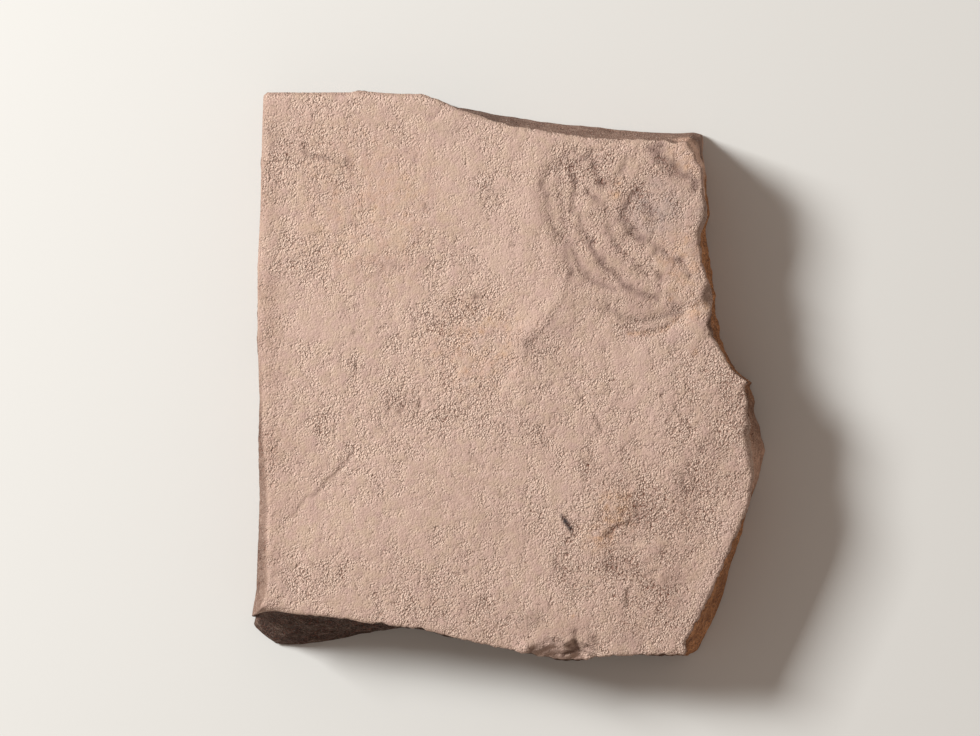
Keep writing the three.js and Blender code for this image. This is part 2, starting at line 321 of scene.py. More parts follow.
steps_in = np.minimum.outer(
    np.minimum(rows_up, UPWARD - rows_up), np.minimum(columns_across, ACROSS - columns_across)
)
grid_bearings = bearing_of(flat_grid[..., 0], flat_grid[..., 1])
grid_reach = np.hypot(flat_grid[..., 0], flat_grid[..., 1])
rim_reaches = np.hypot(*stations.T)
most_reach = np.interp(grid_bearings, bearings, rim_reaches, period=360) - LEAST_STEP * steps_in
drawn_back = np.minimum(1, most_reach / grid_reach + (steps_in > RIM_CELLS))
flat_grid *= drawn_back[..., None]
print("points drawn back inside the rim:", int((drawn_back < 1).sum()))

# %% Read the heights and soften the facets
DEEPEST_DIP = 0.8
NEIGHBOURS = 4
SOFT_CELLS = 1
SOFTER_CELLS = 3
SOFT_FROM_RIM = (0, 3)
SOFTER_FROM_RIM = (8, 20)

grid_index = np.arange((UPWARD + 1) * (ACROSS + 1)).reshape(UPWARD + 1, ACROSS + 1)
border = np.concatenate(
    [grid_index[0, :-1], grid_index[:-1, -1], grid_index[-1, :0:-1], grid_index[:0:-1, 0]]
)


def soften(field, cells):
    """Blurs a grid both ways by a bell a few cells wide."""
    for axis in (0, 1):
        edges = [(3 * cells, 3 * cells) if k == axis else (0, 0) for k in (0, 1)]
        padded = np.pad(field, edges, mode="edge")
        field = np.apply_along_axis(np.convolve, axis, padded, bell(cells), mode="valid")
    return field


solid_heights = np.array([height_at(x, y) for x, y in flat_grid.reshape(-1, 2)])
solid_heights = solid_heights.reshape(flat_grid.shape[:2])
rim_heights = solid_heights.flat[border]
shifts = range(-NEIGHBOURS, NEIGHBOURS + 1)
usual_heights = np.median([np.roll(rim_heights, shift) for shift in shifts], axis=0)
dipped = rim_heights < usual_heights - DEEPEST_DIP
solid_heights.flat[border] = np.where(dipped, usual_heights, rim_heights)
soft = ease(*SOFT_FROM_RIM, steps_in)
softer = ease(*SOFTER_FROM_RIM, steps_in)
heights = solid_heights * (1 - soft) + soften(solid_heights, SOFT_CELLS) * soft
heights = heights * (1 - softer) + soften(solid_heights, SOFTER_CELLS) * softer
face = np.dstack([flat_grid, heights])
print("face height, mm:", round(float(heights.min()), 2), "to", round(float(heights.max()), 2))

# %% [markdown]
# ## Marks on the face
#
# Everything that can be pointed at on the face has its own place: the grooves of the print, the
# cracks, the pits that stand alone, and the patches of coarse and smooth sand. Places are in
# millimetres on the slab's own drawing, whose zero lies close to the middle of the frame. Each mark
# is kept as a short line or an oval and drawn into a field with the same resolution as the noise.

# %% Draw lines and ovals into fields
DRAWING_ZERO = (-0.43, -0.02)
FACE_LOW = (-75.0, -81.0)
FACE_WIDTH = 150
FACE_HEIGHT = 162
FACE_SHAPE = (round(FACE_HEIGHT / FIELD_STEP), round(FACE_WIDTH / FIELD_STEP))
SLOW_WANDER = (0.14, 2.5)
QUICK_WANDER = (0.1, 0.9)

face_y, face_x = np.meshgrid(
    FACE_LOW[1] - DRAWING_ZERO[1] + FIELD_STEP * np.arange(FACE_SHAPE[0]),
    FACE_LOW[0] - DRAWING_ZERO[0] + FIELD_STEP * np.arange(FACE_SHAPE[1]),
    indexing="ij",
)


def wandering(places, slow_seed, quick_seed):
    """Places pushed aside a little, so that no drawn line is quite straight."""
    for (reach, size), seed in ((SLOW_WANDER, slow_seed), (QUICK_WANDER, quick_seed)):
        places = places + reach * cloud(FACE_SHAPE, size, seed)
    return places


wander_x = wandering(face_x, 31, 33)
wander_y = wandering(face_y, 32, 34)


def away_from(points):
    """Distance of every cell from a line that wanders a little, as a crack does."""
    nearest = np.full(FACE_SHAPE, np.inf)
    for (ax, ay), (bx, by) in zip(points, points[1:]):
        dx, dy = bx - ax, by - ay
        t = np.clip(((wander_x - ax) * dx + (wander_y - ay) * dy) / (dx * dx + dy * dy), 0, 1)
        nearest = np.minimum(nearest, np.hypot(wander_x - ax - t * dx, wander_y - ay - t * dy))
    return nearest


def line(points, width):
    """1 along a line, falling off to 0 over about its width."""
    return np.exp(-((away_from(points) / width) ** 2))


def oval(x, y, wide, high, turn=0.0, edge=0.5):
    """1 inside an oval, with an edge that takes up a share of its radius."""
    angle = math.radians(turn)
    dx, dy = wander_x - x, wander_y - y
    along = (dx * math.cos(angle) + dy * math.sin(angle)) / (wide / 2)
    aside = (dy * math.cos(angle) - dx * math.sin(angle)) / (high / 2)
    return 1 - ease(1 - edge, 1 + edge, np.hypot(along, aside))


def together(fields):
    """The strongest of several fields in each cell."""
    return np.maximum.reduce(list(fields))


def on_face(field):
    """A field's values at the points of the face."""
    return read(field, face[..., 0], face[..., 1], FACE_LOW)


print("field of the face, cells:", FACE_SHAPE)

# %% The grooves of the print
PRINT_GROOVES = [
    ([(11.7, 55.7), (10.2, 53.7), (9.1, 50.6), (10.4, 47.8), (11.1, 42.9), (12.4, 38.5)], 0.55),
    ([(12.4, 38.5), (15.0, 36.3), (15.7, 31.9), (16.8, 26.7)], 0.6),
    ([(17.9, 59.7), (14.8, 57.5), (13.9, 54.4), (13.5, 51.7), (13.7, 47.8), (14.6, 43.8),
      (15.5, 38.5)], 0.4),
    ([(15.7, 35.5), (18.6, 30.2), (20.5, 26.2), (24.3, 24.5), (28.2, 22.7)], 0.7),
    ([(22.3, 58.6), (19.4, 57.0), (17.0, 55.7), (16.6, 54.2), (17.7, 51.7), (17.7, 48.2),
      (16.8, 43.4)], 0.9),
    ([(19.0, 42.5), (19.4, 39.0), (21.6, 35.0), (23.0, 32.8)], 0.7),
    ([(23.0, 32.8), (24.7, 30.2), (27.2, 27.5), (29.1, 26.0), (31.5, 23.1), (35.3, 21.4),
      (39.2, 20.5)], 1.0),
    ([(23.0, 56.1), (23.2, 54.4), (24.7, 51.3), (26.0, 50.0)], 1.2),
    ([(20.8, 48.9), (23.2, 46.9), (25.6, 45.1), (26.5, 42.1), (26.5, 38.5), (27.8, 36.8),
      (28.9, 33.7)], 0.6),
    ([(28.9, 33.7), (32.6, 30.6), (34.8, 28.4), (36.6, 27.3)], 0.6),
    ([(39.7, 27.1), (40.3, 25.8)], 0.9),
    ([(34.4, 49.3), (32.4, 47.3), (30.4, 44.3), (30.2, 41.6), (32.0, 39.0), (34.4, 36.3)], 0.9),
    ([(34.4, 36.3), (37.5, 35.5), (40.1, 33.7), (42.5, 31.2), (46.3, 29.3), (48.0, 26.7)], 0.8),
    ([(36.6, 45.1), (37.7, 43.8), (38.1, 40.7)], 0.7),
    ([(25.8, 19.2), (27.4, 17.0), (30.4, 15.4), (34.4, 14.6), (38.8, 15.2), (44.5, 16.5),
      (45.6, 17.9)], 0.65),
    ([(44.9, 17.5), (43.4, 19.7), (42.7, 21.9)], 0.5),
    ([(25.9, 20.6), (28.6, 19.7), (33.9, 18.8), (37.4, 18.4)], 0.35),
    ([(40.1, 57.5), (41.0, 54.8), (44.7, 53.5), (45.4, 52.2)], 0.6),
    ([(31.3, 57.5), (30.0, 54.0), (28.7, 52.6)], 0.7),
]
DEEPER_SPOTS = [
    (9.1, 50.6, 1.6, 2.4, 0.75), (10.6, 47.8, 1.4, 2.8, 0.5), (11.8, 43.0, 1.6, 3.0, 0.4),
    (13.6, 37.2, 3.6, 4.0, 0.25), (16.6, 55.0, 1.6, 2.6, 0.8), (17.7, 52.0, 1.5, 3.0, 1.0),
    (17.2, 44.0, 2.2, 2.2, 0.6), (16.2, 36.8, 1.6, 3.6, 0.2), (23.0, 55.6, 1.5, 3.0, 0.9),
    (24.7, 51.0, 1.9, 2.6, 1.2), (27.0, 51.6, 2.4, 1.6, 0.6), (21.2, 48.6, 1.5, 2.2, 0.7),
    (23.1, 47.0, 2.0, 1.4, 0.6), (26.4, 38.8, 1.4, 3.8, 0.5), (28.7, 34.5, 1.8, 2.0, 0.6),
    (22.2, 34.6, 1.9, 3.2, 0.9), (24.9, 30.3, 2.1, 2.8, 1.1), (27.6, 27.6, 2.2, 1.8, 0.6),
    (29.2, 26.0, 1.2, 1.4, 0.8), (32.0, 23.2, 2.6, 1.6, 0.8), (20.9, 26.4, 2.2, 2.2, 0.6),
    (16.9, 27.5, 1.3, 2.4, 0.7), (31.2, 41.6, 1.8, 3.0, 0.9), (33.0, 38.2, 2.8, 3.0, 1.1),
    (34.9, 36.6, 2.8, 1.8, 1.0), (39.2, 33.0, 1.5, 3.0, 0.7), (34.6, 28.8, 3.0, 1.8, 0.5),
    (40.4, 26.3, 1.3, 1.9, 0.9), (45.6, 30.5, 2.2, 1.6, 0.8), (48.1, 26.7, 1.2, 1.6, 0.9),
    (27.6, 17.0, 3.6, 2.4, 0.4), (44.0, 18.6, 1.6, 3.0, 0.45), (45.0, 16.8, 2.6, 1.2, 0.6),
    (31.3, 43.6, 3.2, 4.4, 0.5), (39.4, 60.0, 5.0, 3.2, 0.9), (41.0, 57.0, 3.6, 2.4, 1.0),
    (44.2, 54.8, 3.6, 4.4, 0.9), (47.2, 52.6, 3.6, 2.0, 0.9), (49.4, 50.0, 2.0, 4.0, 0.8),
    (38.0, 43.6, 1.6, 3.4, 0.6),
]
GROOVE_REACH = 0.7
GROOVE_SHARE = 0.8
SHADE_REACH = 2.2 * GROOVE_REACH
SOFT_EDGE = 0.6


def drawn(lines, reach):
    """The lines of the print, each as strong as it is deep."""
    return together(depth * line(points, reach) for points, depth in lines)


patchy = 0.95 + 0.08 * cloud(FACE_SHAPE, 4.0, 41)
print_spots = together(
    depth * oval(x, y, wide, high, 0, SOFT_EDGE) for x, y, wide, high, depth in DEEPER_SPOTS
)
print_grooves = np.maximum(GROOVE_SHARE * drawn(PRINT_GROOVES, GROOVE_REACH) * patchy, print_spots)
print_shade = drawn(PRINT_GROOVES, SHADE_REACH) * patchy
print("print covers, cm2:", round(float((print_shade > 0.1).sum()) * FIELD_STEP**2 / 100, 1))

# %% Cracks, scratches, lone pits and ridges
CRACKS = [
    ([(-41.3, -20.1), (-42.0, -22.3), (-44.4, -25.1), (-47.6, -27.4), (-49.1, -30.0)], 0.35, 1.2),
    ([(-49.1, -30.0), (-53.3, -31.9), (-54.9, -34.8), (-58.4, -38.3)], 0.3, 0.8),
    ([(31.3, 11.4), (34.6, 12.0), (39.6, 12.1), (41.6, 13.3), (44.9, 15.0), (47.0, 17.0)], 0.28, 1.0),
    ([(17.3, 27.2), (14.7, 19.9), (11.1, 13.7), (5.4, 8.5), (4.9, 3.3)], 0.6, 0.45),
    ([(32.2, 48.0), (35.6, 49.6)], 0.25, 0.9),
    ([(-53.3, 61.4), (-53.2, 57.9), (-48.4, 57.6), (-44.4, 56.3)], 0.4, 0.85),
    ([(-39.8, 3.3), (-39.8, 1.2)], 0.4, 1.6),
    ([(-31.4, -6.6), (-31.2, -9.6)], 0.28, 1.0),
    ([(-33.8, -9.8), (-33.6, -12.0), (-32.7, -14.8)], 0.22, 0.9),
    ([(-27.1, -6.6), (-27.6, -9.2), (-28.9, -9.6)], 0.28, 1.2),
    ([(-23.2, -6.2), (-23.4, -8.6)], 0.3, 1.6),
    ([(-49.9, -13.5), (-49.4, -14.8)], 0.4, 0.9),
    ([(-37.7, 26.1), (-34.1, 27.2), (-31.5, 29.2), (-27.3, 28.2)], 0.35, 0.5),
    ([(12.1, -48.2), (14.7, -52.3), (18.2, -57.0)], 0.35, 0.8),
    ([(31.7, -56.4), (31.3, -60.6)], 0.4, 1.5),
    ([(34.4, -53.4), (37.0, -52.2), (39.1, -51.0)], 0.35, 0.9),
    ([(17.3, -4.0), (20.4, -7.1)], 0.35, 0.7),
    ([(23.0, -10.2), (24.0, -12.4), (25.1, -14.9)], 0.35, 1.4),
    ([(20.4, -21.7), (20.4, -27.9)], 0.35, 0.6),
    ([(23.0, -32.1), (25.1, -38.3)], 0.35, 0.5),
    ([(44.3, -8.2), (48.4, -14.4)], 0.4, 0.6),
    ([(45.8, -25.8), (47.4, -31.0)], 0.5, 1.0),
    ([(33.4, -33.6), (34.9, -37.3)], 0.4, 1.3),
    ([(25.6, -42.5), (29.2, -39.9), (32.9, -38.3)], 0.5, 1.3),
    ([(8.0, -14.4), (10.0, -18.6)], 0.4, 0.6),
    ([(6.8, -73.1), (8.4, -72.1), (10.2, -71.5)], 0.3, 1.0),
    ([(17.7, -67.4), (18.0, -70.4), (18.6, -72.8)], 0.6, 1.4),
    ([(5.7, -73.4), (6.8, -72.2), (8.2, -71.5), (9.8, -71.3)], 0.4, 1.2),
    ([(14.6, -73.8), (15.8, -73.0), (17.4, -72.6)], 0.5, 1.9),
    ([(6.6, -72.4), (8.4, -71.2), (10.6, -70.0), (13.4, -69.9), (15.4, -70.6),
      (17.6, -72.4)], 0.45, 1.3),
    ([(7.6, -73.0), (10.0, -72.2), (13.0, -72.3)], 0.3, 0.25),
    ([(22.6, -63.0), (23.5, -66.4), (24.2, -69.4)], 0.3, 0.5),
    ([(23.0, -69.0), (23.3, -70.4)], 0.7, 1.3),
    ([(-6.6, -27.2), (-4.2, -29.8), (-1.6, -32.4)], 0.22, 0.45),
    ([(-3.6, -28.4), (-0.6, -32.6)], 0.22, 0.45),
    ([(-8.6, -21.4), (-7.2, -23.6)], 0.25, 0.7),
    ([(6.8, 38.4), (8.9, 35.6)], 0.25, 0.6),
    ([(53.4, 23.6), (52.2, 22.2), (51.6, 20.8), (53.0, 19.6)], 0.5, 0.8),
]
SCRATCHES = [
    [(-8.6, -46.5), (-6.4, -50.4), (-4.3, -54.2)], [(-6.2, -46.8), (-2.4, -53.6)],
    [(-4.6, -46.4), (-1.2, -52.4)], [(-1.4, -47.2), (1.8, -53.0)], [(0.6, -46.0), (3.4, -51.6)],
    [(7.2, -28.8), (8.3, -31.6), (9.4, -34.0)],
    [(7.0, -41.8), (8.6, -46.0), (9.8, -50.0), (12.6, -56.6)],
    [(10.2, -50.6), (12.0, -55.6), (13.8, -59.4)], [(-15.8, -26.0), (-13.4, -30.6), (-10.2, -34.4)],
    [(-7.4, -26.2), (-2.0, -25.6), (3.0, -25.8)], [(-7.0, -45.0), (-2.4, -43.6), (2.0, -41.8)],
    [(-5.8, -32.4), (-3.8, -32.8), (0.8, -33.4)], [(38.6, 13.3), (42.0, 13.9), (46.6, 16.6)],
]
LONE_PITS = [
    (-5.5, 50.4, 1.3), (-5.5, 46.5, 1.2), (-21.6, 44.8, 1.6), (8.0, 37.6, 1.0), (1.7, 34.2, 0.9),
    (-8.6, 30.3, 1.1), (-42.1, 56.8, 2.2), (-50.7, 29.8, 1.2), (-40.8, 11.6, 1.4), (-49.6, -13.9, 1.6),
    (40.7, -5.1, 1.3), (51.0, -19.6, 1.8), (27.2, -50.3, 2.4), (26.0, -42.6, 1.6), (-8.6, 20.9, 2.2),
    (9.2, -15.3, 1.0), (18.5, -4.0, 1.0), (-6.6, -23.8, 1.0), (-35.6, 35.9, 0.9), (5.4, 8.5, 2.6),
    (24.4, 50.9, 2.0), (40.2, 26.4, 1.0), (-11.6, -51.7, 0.8),
]
RIDGES = [
    [(16.0, 27.0), (9.5, 16.5), (2.5, 10.0), (1.0, 3.0), (4.5, -5.0)],
    [(8.0, 56.0), (6.0, 47.0), (8.5, 38.0), (13.0, 29.0)],
]
RIDGE_WIDTH = 2.4
SCRATCH_WIDTH = 0.35
PIT_FLATNESS = 0.8
PIT_TURN = 60

cracks = together(depth * line(points, width) for points, width, depth in CRACKS)
ridges = together(line(points, RIDGE_WIDTH) for points in RIDGES)
scratches = together(line(points, SCRATCH_WIDTH) for points in SCRATCHES)
lone_pits = together(
    oval(x, y, wide, wide * PIT_FLATNESS, PIT_TURN, SOFT_EDGE) for x, y, wide in LONE_PITS
)
print("cracks:", len(CRACKS), "scratches:", len(SCRATCHES), "lone pits:", len(LONE_PITS))

# %% Coarse and smooth patches, flakes and a fragment
COARSE_PATCHES = [
    (24, 55, 14, 14, 0, 0.9), (31, 50, 12, 8, -20, 0.8), (38, 44, 24, 36, 10, 0.2),
    (42, 56, 10, 10, 0, 0.5), (-9, 19, 11, 9, 30, 0.9), (-17, 8, 12, 26, 10, 0.7),
    (-28, -6, 11, 9, 0, 0.75), (-19, -12, 9, 7, 0, 0.8), (-16, -4, 46, 30, 20, 0.45),
    (8, 6, 9, 12, 20, 0.45), (1, -12, 12, 12, 0, 0.5), (9, -16, 6, 8, 0, 0.6), (21, -22, 8, 14, 0, 0.7),
    (38, -46, 42, 56, 0, 0.6), (16, -39, 7, 10, 0, 1.0), (29, -38, 12, 10, 0, 0.9),
    (29, -50, 10, 9, 0, 0.8), (17, -54, 7, 9, 0, 0.9), (60, -8, 10, 16, 0, 1.0), (54, 1, 9, 8, 0, 0.9),
    (58, -19, 10, 8, 0, 1.0), (51, -28, 13, 11, 0, 1.0), (53, -38, 9, 10, 0, 1.0),
    (50, -10, 24, 60, 0, 0.4), (-49, -12, 7, 11, 0, 0.5), (-45, -26, 20, 6, 45, 0.35),
    (-58, -38, 14, 6, 20, 0.5), (-53, -55, 16, 10, 0, 0.6), (-23, -53, 16, 7, -10, 0.6),
    (-18, -63, 12, 6, 0, 0.7), (-59, 55, 9, 14, 0, 0.5), (-50, 51, 9, 10, 0, 0.5),
    (-40, 51, 8, 14, 0, 0.55), (-54, 33, 12, 16, 0, 0.3), (-18, 33, 12, 14, 40, 0.5),
    (-8, 33, 7, 12, 0, 0.4), (-5, 48, 6, 10, 0, 0.6), (-28, 64, 6, 6, 0, 0.45),
    (-29, 30, 18, 8, 0, 0.3), (-39, 3, 6, 6, 0, 0.45), (38, 13, 18, 5, 15, 0.6),
    (-34, -28, 8, 8, 0, 0.4), (-8, -64, 46, 12, -7, 0.5), (46, -12, 10, 26, 0, 0.6),
]
SMOOTH_PATCHES = [
    (-31, 53, 11, 20, 0, 0.6), (-15, 54, 16, 28, 0, 0.7), (-22, 62, 16, 14, 0, 0.5),
    (5, 47, 10, 10, 0, 0.7), (-2, 34, 7, 10, 0, 0.8), (3, 58, 10, 10, 0, 0.5),
    (-43, 15, 38, 15, 0, 0.6), (-36, 17, 16, 14, 0, 0.5), (2, 0, 9, 14, 0, 0.8),
    (34, 2, 11, 18, 0, 0.8), (42, -16, 9, 7, 0, 0.5), (-54, -18, 13, 18, 0, 0.6),
    (-38, -38, 34, 9, 0, 0.5), (-8, -36, 24, 9, 0, 0.5), (4, -46, 9, 18, 10, 0.6),
    (40, -27, 7, 6, 0, 0.6), (38, -46.5, 6.5, 6, 30, 0.8), (42.5, -52.6, 6, 4.2, 25, 0.8),
    (8, 18, 16, 12, 0, 0.35), (24, 10, 10, 10, 0, 0.5),
]
FLAKES = [(38.0, -46.5, 6.4, 5.6, 40), (42.6, -52.6, 5.8, 4.0, 20), (29, -31.5, 3.2, 2.2, 30)]
FRAGMENT = (15.4, -39.0, 1.35, 5.8, 32)
PATCH_EDGE = 0.7
FLAKE_EDGE = 0.12
FRAGMENT_EDGE = 0.25
LEAST_COARSE = 0.02
USUAL_COARSE = 0.3
COARSE_GAIN = 0.75
SMOOTH_LOSS = 0.45


def patches(table):
    """Ovals of several strengths drawn into one field."""
    return together(strength * oval(*place, PATCH_EDGE) for *place, strength in table)


coarse = USUAL_COARSE + 0.09 * cloud(FACE_SHAPE, 9.0, 51) + 0.13 * cloud(FACE_SHAPE, 3.5, 52)
coarse += COARSE_GAIN * patches(COARSE_PATCHES)
coarse -= SMOOTH_LOSS * patches(SMOOTH_PATCHES)
coarse = np.clip(coarse, LEAST_COARSE, 1)
flakes = together(oval(*flake, FLAKE_EDGE) for flake in FLAKES)
fragment = oval(*FRAGMENT, FRAGMENT_EDGE)
print("mean coarseness:", round(float(coarse.mean()), 2))

# %% [markdown]
# ## Relief of the face
#
# Low light shows every grain, so the relief does more for this stone than its colours. Bump
# mapping alone could do it, but it leaves outlines and shadows flat. So all that is wider than
# half a millimetre is real height here, and only the grains are left to the material.

# %% Break the chip in the lower edge into ledges
CHIP = (14.5, -72.5, 22, 9, 0, 0.3)
CHIP_TOP = 22.9
LEDGE = 1.5
LEDGE_WANDER = 0.15
LEDGE_DROP = (0.5, 0.95)

chip = on_face(oval(*CHIP))
below = (CHIP_TOP - face[..., 2]) / LEDGE
below += on_face(LEDGE_WANDER * cloud(FACE_SHAPE, 3.0, 65))
ledges = np.floor(below) + ease(*LEDGE_DROP, below - np.floor(below))
face[..., 2] += (CHIP_TOP - ledges * LEDGE - face[..., 2]) * chip
print("ledges:", int(ledges[chip > 0.5].max()))

# %% Add up the relief
LUMPS = {0.9: 0.014, 1.6: 0.01, 3.2: 0.014, 8.0: 0.045}
FIRST_LUMP_SEED = 70
WIDEST_SAND_LUMP = 2
PITS = [(0.75, 0.01, 0.12, 61), (1.0, 0.006, 0.16, 62), (1.5, 0.001, 0.18, 63)]
PITTED = (-0.6, 1.4)
PITTED_WHERE_COARSE = 1.6
DEEPEST_PIT = 0.45
GROOVE_DEPTH = 0.36
SHADE_DEPTH = 0.05
CRACK_DEPTH = 0.3
LONE_PIT_DEPTH = 0.12
FLAKE_HEIGHT = 0.16
FRAGMENT_HEIGHT = 0.22
SCRATCH_HEIGHT = 0.05
RIDGE_HEIGHT = 0.14
RELIEF_FROM_RIM = (-2, 3)

sandy = 0.45 + 0.75 * coarse
relief = sum(
    height * cloud(FACE_SHAPE, size, FIRST_LUMP_SEED + k) * (sandy if size < WIDEST_SAND_LUMP else 1)
    for k, (size, height) in enumerate(LUMPS.items())
)
clusters = ease(*PITTED, cloud(FACE_SHAPE, 2.6, 64) + PITTED_WHERE_COARSE * (coarse - 0.5))
pits = sum(depth * dots(FACE_SHAPE, size, share, seed) for size, share, depth, seed in PITS)
pits = np.minimum(pits * clusters, DEEPEST_PIT)
relief -= pits
relief -= GROOVE_DEPTH * print_grooves + SHADE_DEPTH * print_shade
relief -= CRACK_DEPTH * cracks + LONE_PIT_DEPTH * lone_pits
relief += (
    FLAKE_HEIGHT * flakes + FRAGMENT_HEIGHT * fragment + SCRATCH_HEIGHT * scratches + RIDGE_HEIGHT * ridges
)
face[..., 2] += on_face(relief) * ease(*RELIEF_FROM_RIM, steps_in)
print("relief, mm:", round(float(relief.min()), 2), "to", round(float(relief.max()), 2))

# %% [markdown]
# ## The broken sides
#
# The sides are seen edge-on from above, yet they show the beds of the stone from every other
# angle. Level rays are sent in from outside at each station to find the solid's ledges. Each
# column of hits is then divided evenly along its own length, so that a ledge gets as many rows as
# an upright stretch.

# %% Find the sides by level rays
SIDE_ROWS = 28
RAYS = 60
FAR = 200
LOWEST_RAY = 0.02
CROWDING = 1.2

turns = np.radians(bearing_of(stations[:, 0], stations[:, 1]))
side_columns = np.empty((PERIMETER, RAYS + 1, 3))
for i, (rim_point, turn) in enumerate(zip(face.reshape(-1, 3)[border], turns)):
    away = Vector((math.cos(turn), math.sin(turn), 0))
    side_columns[i, 0] = rim_point
    for k in range(1, RAYS + 1):
        height = max(rim_point[2] * (1 - k / RAYS), LOWEST_RAY)
        start = away * (FAR * MM) + Vector((0, 0, height * MM))
        hit = solid_tree.ray_cast(start, -away)[0]
        side_columns[i, k] = np.array(hit) / MM if hit else side_columns[i, k - 1]


def spaced_rows(column):
    """The column again, as the rows of the skin, even along its length but closer at the top."""
    run = np.concatenate([[0], np.cumsum(np.linalg.norm(np.diff(column, axis=0), axis=1))])
    places = run[-1] * (np.arange(SIDE_ROWS + 1) / SIDE_ROWS) ** CROWDING
    return np.stack([np.interp(places, run, column[:, k]) for k in range(3)], 1)


sides = np.stack([spaced_rows(column) for column in side_columns], 1)
sides[-1, :, 2] = 0
print("side rows and columns:", sides.shape[:2])

# %% [markdown]
# ## Changes around the sides
#
# The slab broke at different times, so its sides differ: rusty on the right, pale where a corner
# came off lately. Painted shade darkens them too, most underneath at the lower left, where it is
# nearly black. Each could be its own material, with a hard seam between two of them. Here each change is a
# list of bearings in degrees and
# strengths, read with a little straying, so that one look runs unevenly into the next.

# %% How the stone changes around its sides
STRAY = 1.5
STONE_AROUND = {
    "iron": [
        (0, 0.7), (5, 0.95), (43, 1.0), (46, 0.8), (48.5, 0.2), (51, 0.1), (54, 0), (215, 0),
        (228, 0.15), (260, 0.1), (298, 0.2), (303, 0.95), (334, 0.9), (337, 0.15), (353, 0.15),
    ],
    "iron starts": [(0, 0.05), (38, 0.1), (44, 0.3), (52, 0.3), (60, 0.05), (300, 0.0)],
    # How much painted shade darkens each side: nearly black underneath at the lower left, some along the
    # upper strip.
    "painted_shade": [
        (0, 0.2), (10, 0.1), (43, 0.05), (47, 0), (51, 0), (54, 0.1), (84, 0.12), (90, 0.35),
        (103, 0.45), (112, 0.3), (190, 0.2), (220, 0.5), (226, 0.95), (250, 1.0), (275, 0.9),
        (296, 0.6), (304, 0.05), (336, 0.03), (339, 0), (343, 0.03), (346, 0.1), (354, 0.25),
    ],
    "fresh": [
        (42, 0), (45, 1.0), (51, 1.0), (53, 0.1), (98, 0.1), (106, 0), (334, 0), (337, 1.0),
        (343, 0.8), (346, 0.5), (350, 0.3), (356, 0.05),
    ],
    "rough": [
        (0, 1.1), (45, 0.9), (51, 0.3), (98, 0.35), (106, 0.9), (190, 0.7), (217, 0.7), (221, 0.1),
        (226, 0.1), (230, 1.2), (250, 1.2), (300, 1.0), (305, 0.8), (335, 0.8), (345, 1.2),
    ],
}

row_share = (np.arange(SIDE_ROWS + 1) / SIDE_ROWS)[:, None]
side_run = np.broadcast_to(station_run[None, :], sides.shape[:2])
side_drop = sides[0, :, 2] - sides[..., 2]
below_rim = ease(0, 0.3, row_share)


def on_sides(field):
    """A field's values at the points of the sides."""
    return read(field, side_run, side_drop)


strayed = STRAY * on_sides(cloud(SIDE_SHAPE, 5.0, 86)) * below_rim


def around_at(name):
    """One of those values at each point of the sides."""
    places, values = zip(*STONE_AROUND[name])
    return np.interp(bearings[None, :] + strayed, places, values, period=360)


print("straying, degrees:", round(float(strayed.min()), 1), "to", round(float(strayed.max()), 1))

# %% Weather the sides
BED_SHARPNESS = 2.5
BED_STEP = 0.17
THIN_BED_STEP = 0.13
BREAK_DEPTH = 0.3
CRUMB_DEPTH = 0.12
SAND_DEPTH = 0.05
SET_BACK = 0.14
FOOT_BAND = (0.9, 1)

beds = np.tanh(BED_SHARPNESS * on_sides(cloud(SIDE_SHAPE, 2.4, 81, across=40)))
thin_beds = on_sides(cloud(SIDE_SHAPE, 1.1, 82, across=16))
breaks = np.abs(on_sides(cloud(SIDE_SHAPE, 7.0, 83) + 0.7 * cloud(SIDE_SHAPE, 15.0, 87)))
crumbs = on_sides(cloud(SIDE_SHAPE, 1.4, 84))
sand = on_sides(cloud(SIDE_SHAPE, 0.7, 85))
cut_back = BED_STEP * beds + THIN_BED_STEP * thin_beds - BREAK_DEPTH * breaks
cut_back += CRUMB_DEPTH * crumbs
cut_back += SAND_DEPTH * sand
cut_back = (cut_back - SET_BACK) * around_at("rough") * below_rim * (1 - ease(*FOOT_BAND, row_share))
away_flat = np.stack([np.cos(turns), np.sin(turns)], 1)
notches = -bites[None, :] * (1 - below_rim)
sides[1:, :, :2] += (cut_back + notches)[1:, :, None] * away_flat[None]
print("sides cut back, mm:", round(float(-cut_back.min()), 2))

# %% [markdown]
# ## The back
#
# The slab lies on its back, so it has to stay level enough to rest. Rings are drawn in from the
# foot towards the middle. Every ring could keep the full count of points, but near the middle they
# would crowd, so the count is halved whenever the points have come close together.

# %% Draw the rings of the back
RING_SHARES = [0.99, 0.975, 0.955, 0.93, 0.9, 0.865, 0.825, 0.78, 0.73, 0.68, 0.63, 0.575, 0.52, 0.46,
               0.4, 0.34, 0.28, 0.22, 0.16, 0.1, 0.05]
RING_COUNTS = [1024, 512] + [256] * 10 + [128] * 5 + [64] * 2 + [32, 16]
HOLLOW = 0.55
RESTING = 0.3
LEVEL_UNTIL = 0.9

foot = sides[-1]
foot_middle = foot[:, :2].mean(0)
hollow_field = cloud(FACE_SHAPE, 9.0, 91)
hollow_field += 0.5 * cloud(FACE_SHAPE, 3.0, 92)
hollow_field += 0.25 * cloud(FACE_SHAPE, 1.5, 93)
back_rings = []
for share, count in zip(RING_SHARES, RING_COUNTS):
    flat = foot_middle + (foot[:: PERIMETER // count, :2] - foot_middle) * share
    lift = np.clip(read(hollow_field, flat[:, 0], flat[:, 1], FACE_LOW) - RESTING, 0, None)
    lift *= HOLLOW * float(ease(1, LEVEL_UNTIL, share))
    back_rings.append(np.column_stack([flat, lift]))
print("back rings:", len(back_rings), "points:", sum(RING_COUNTS))

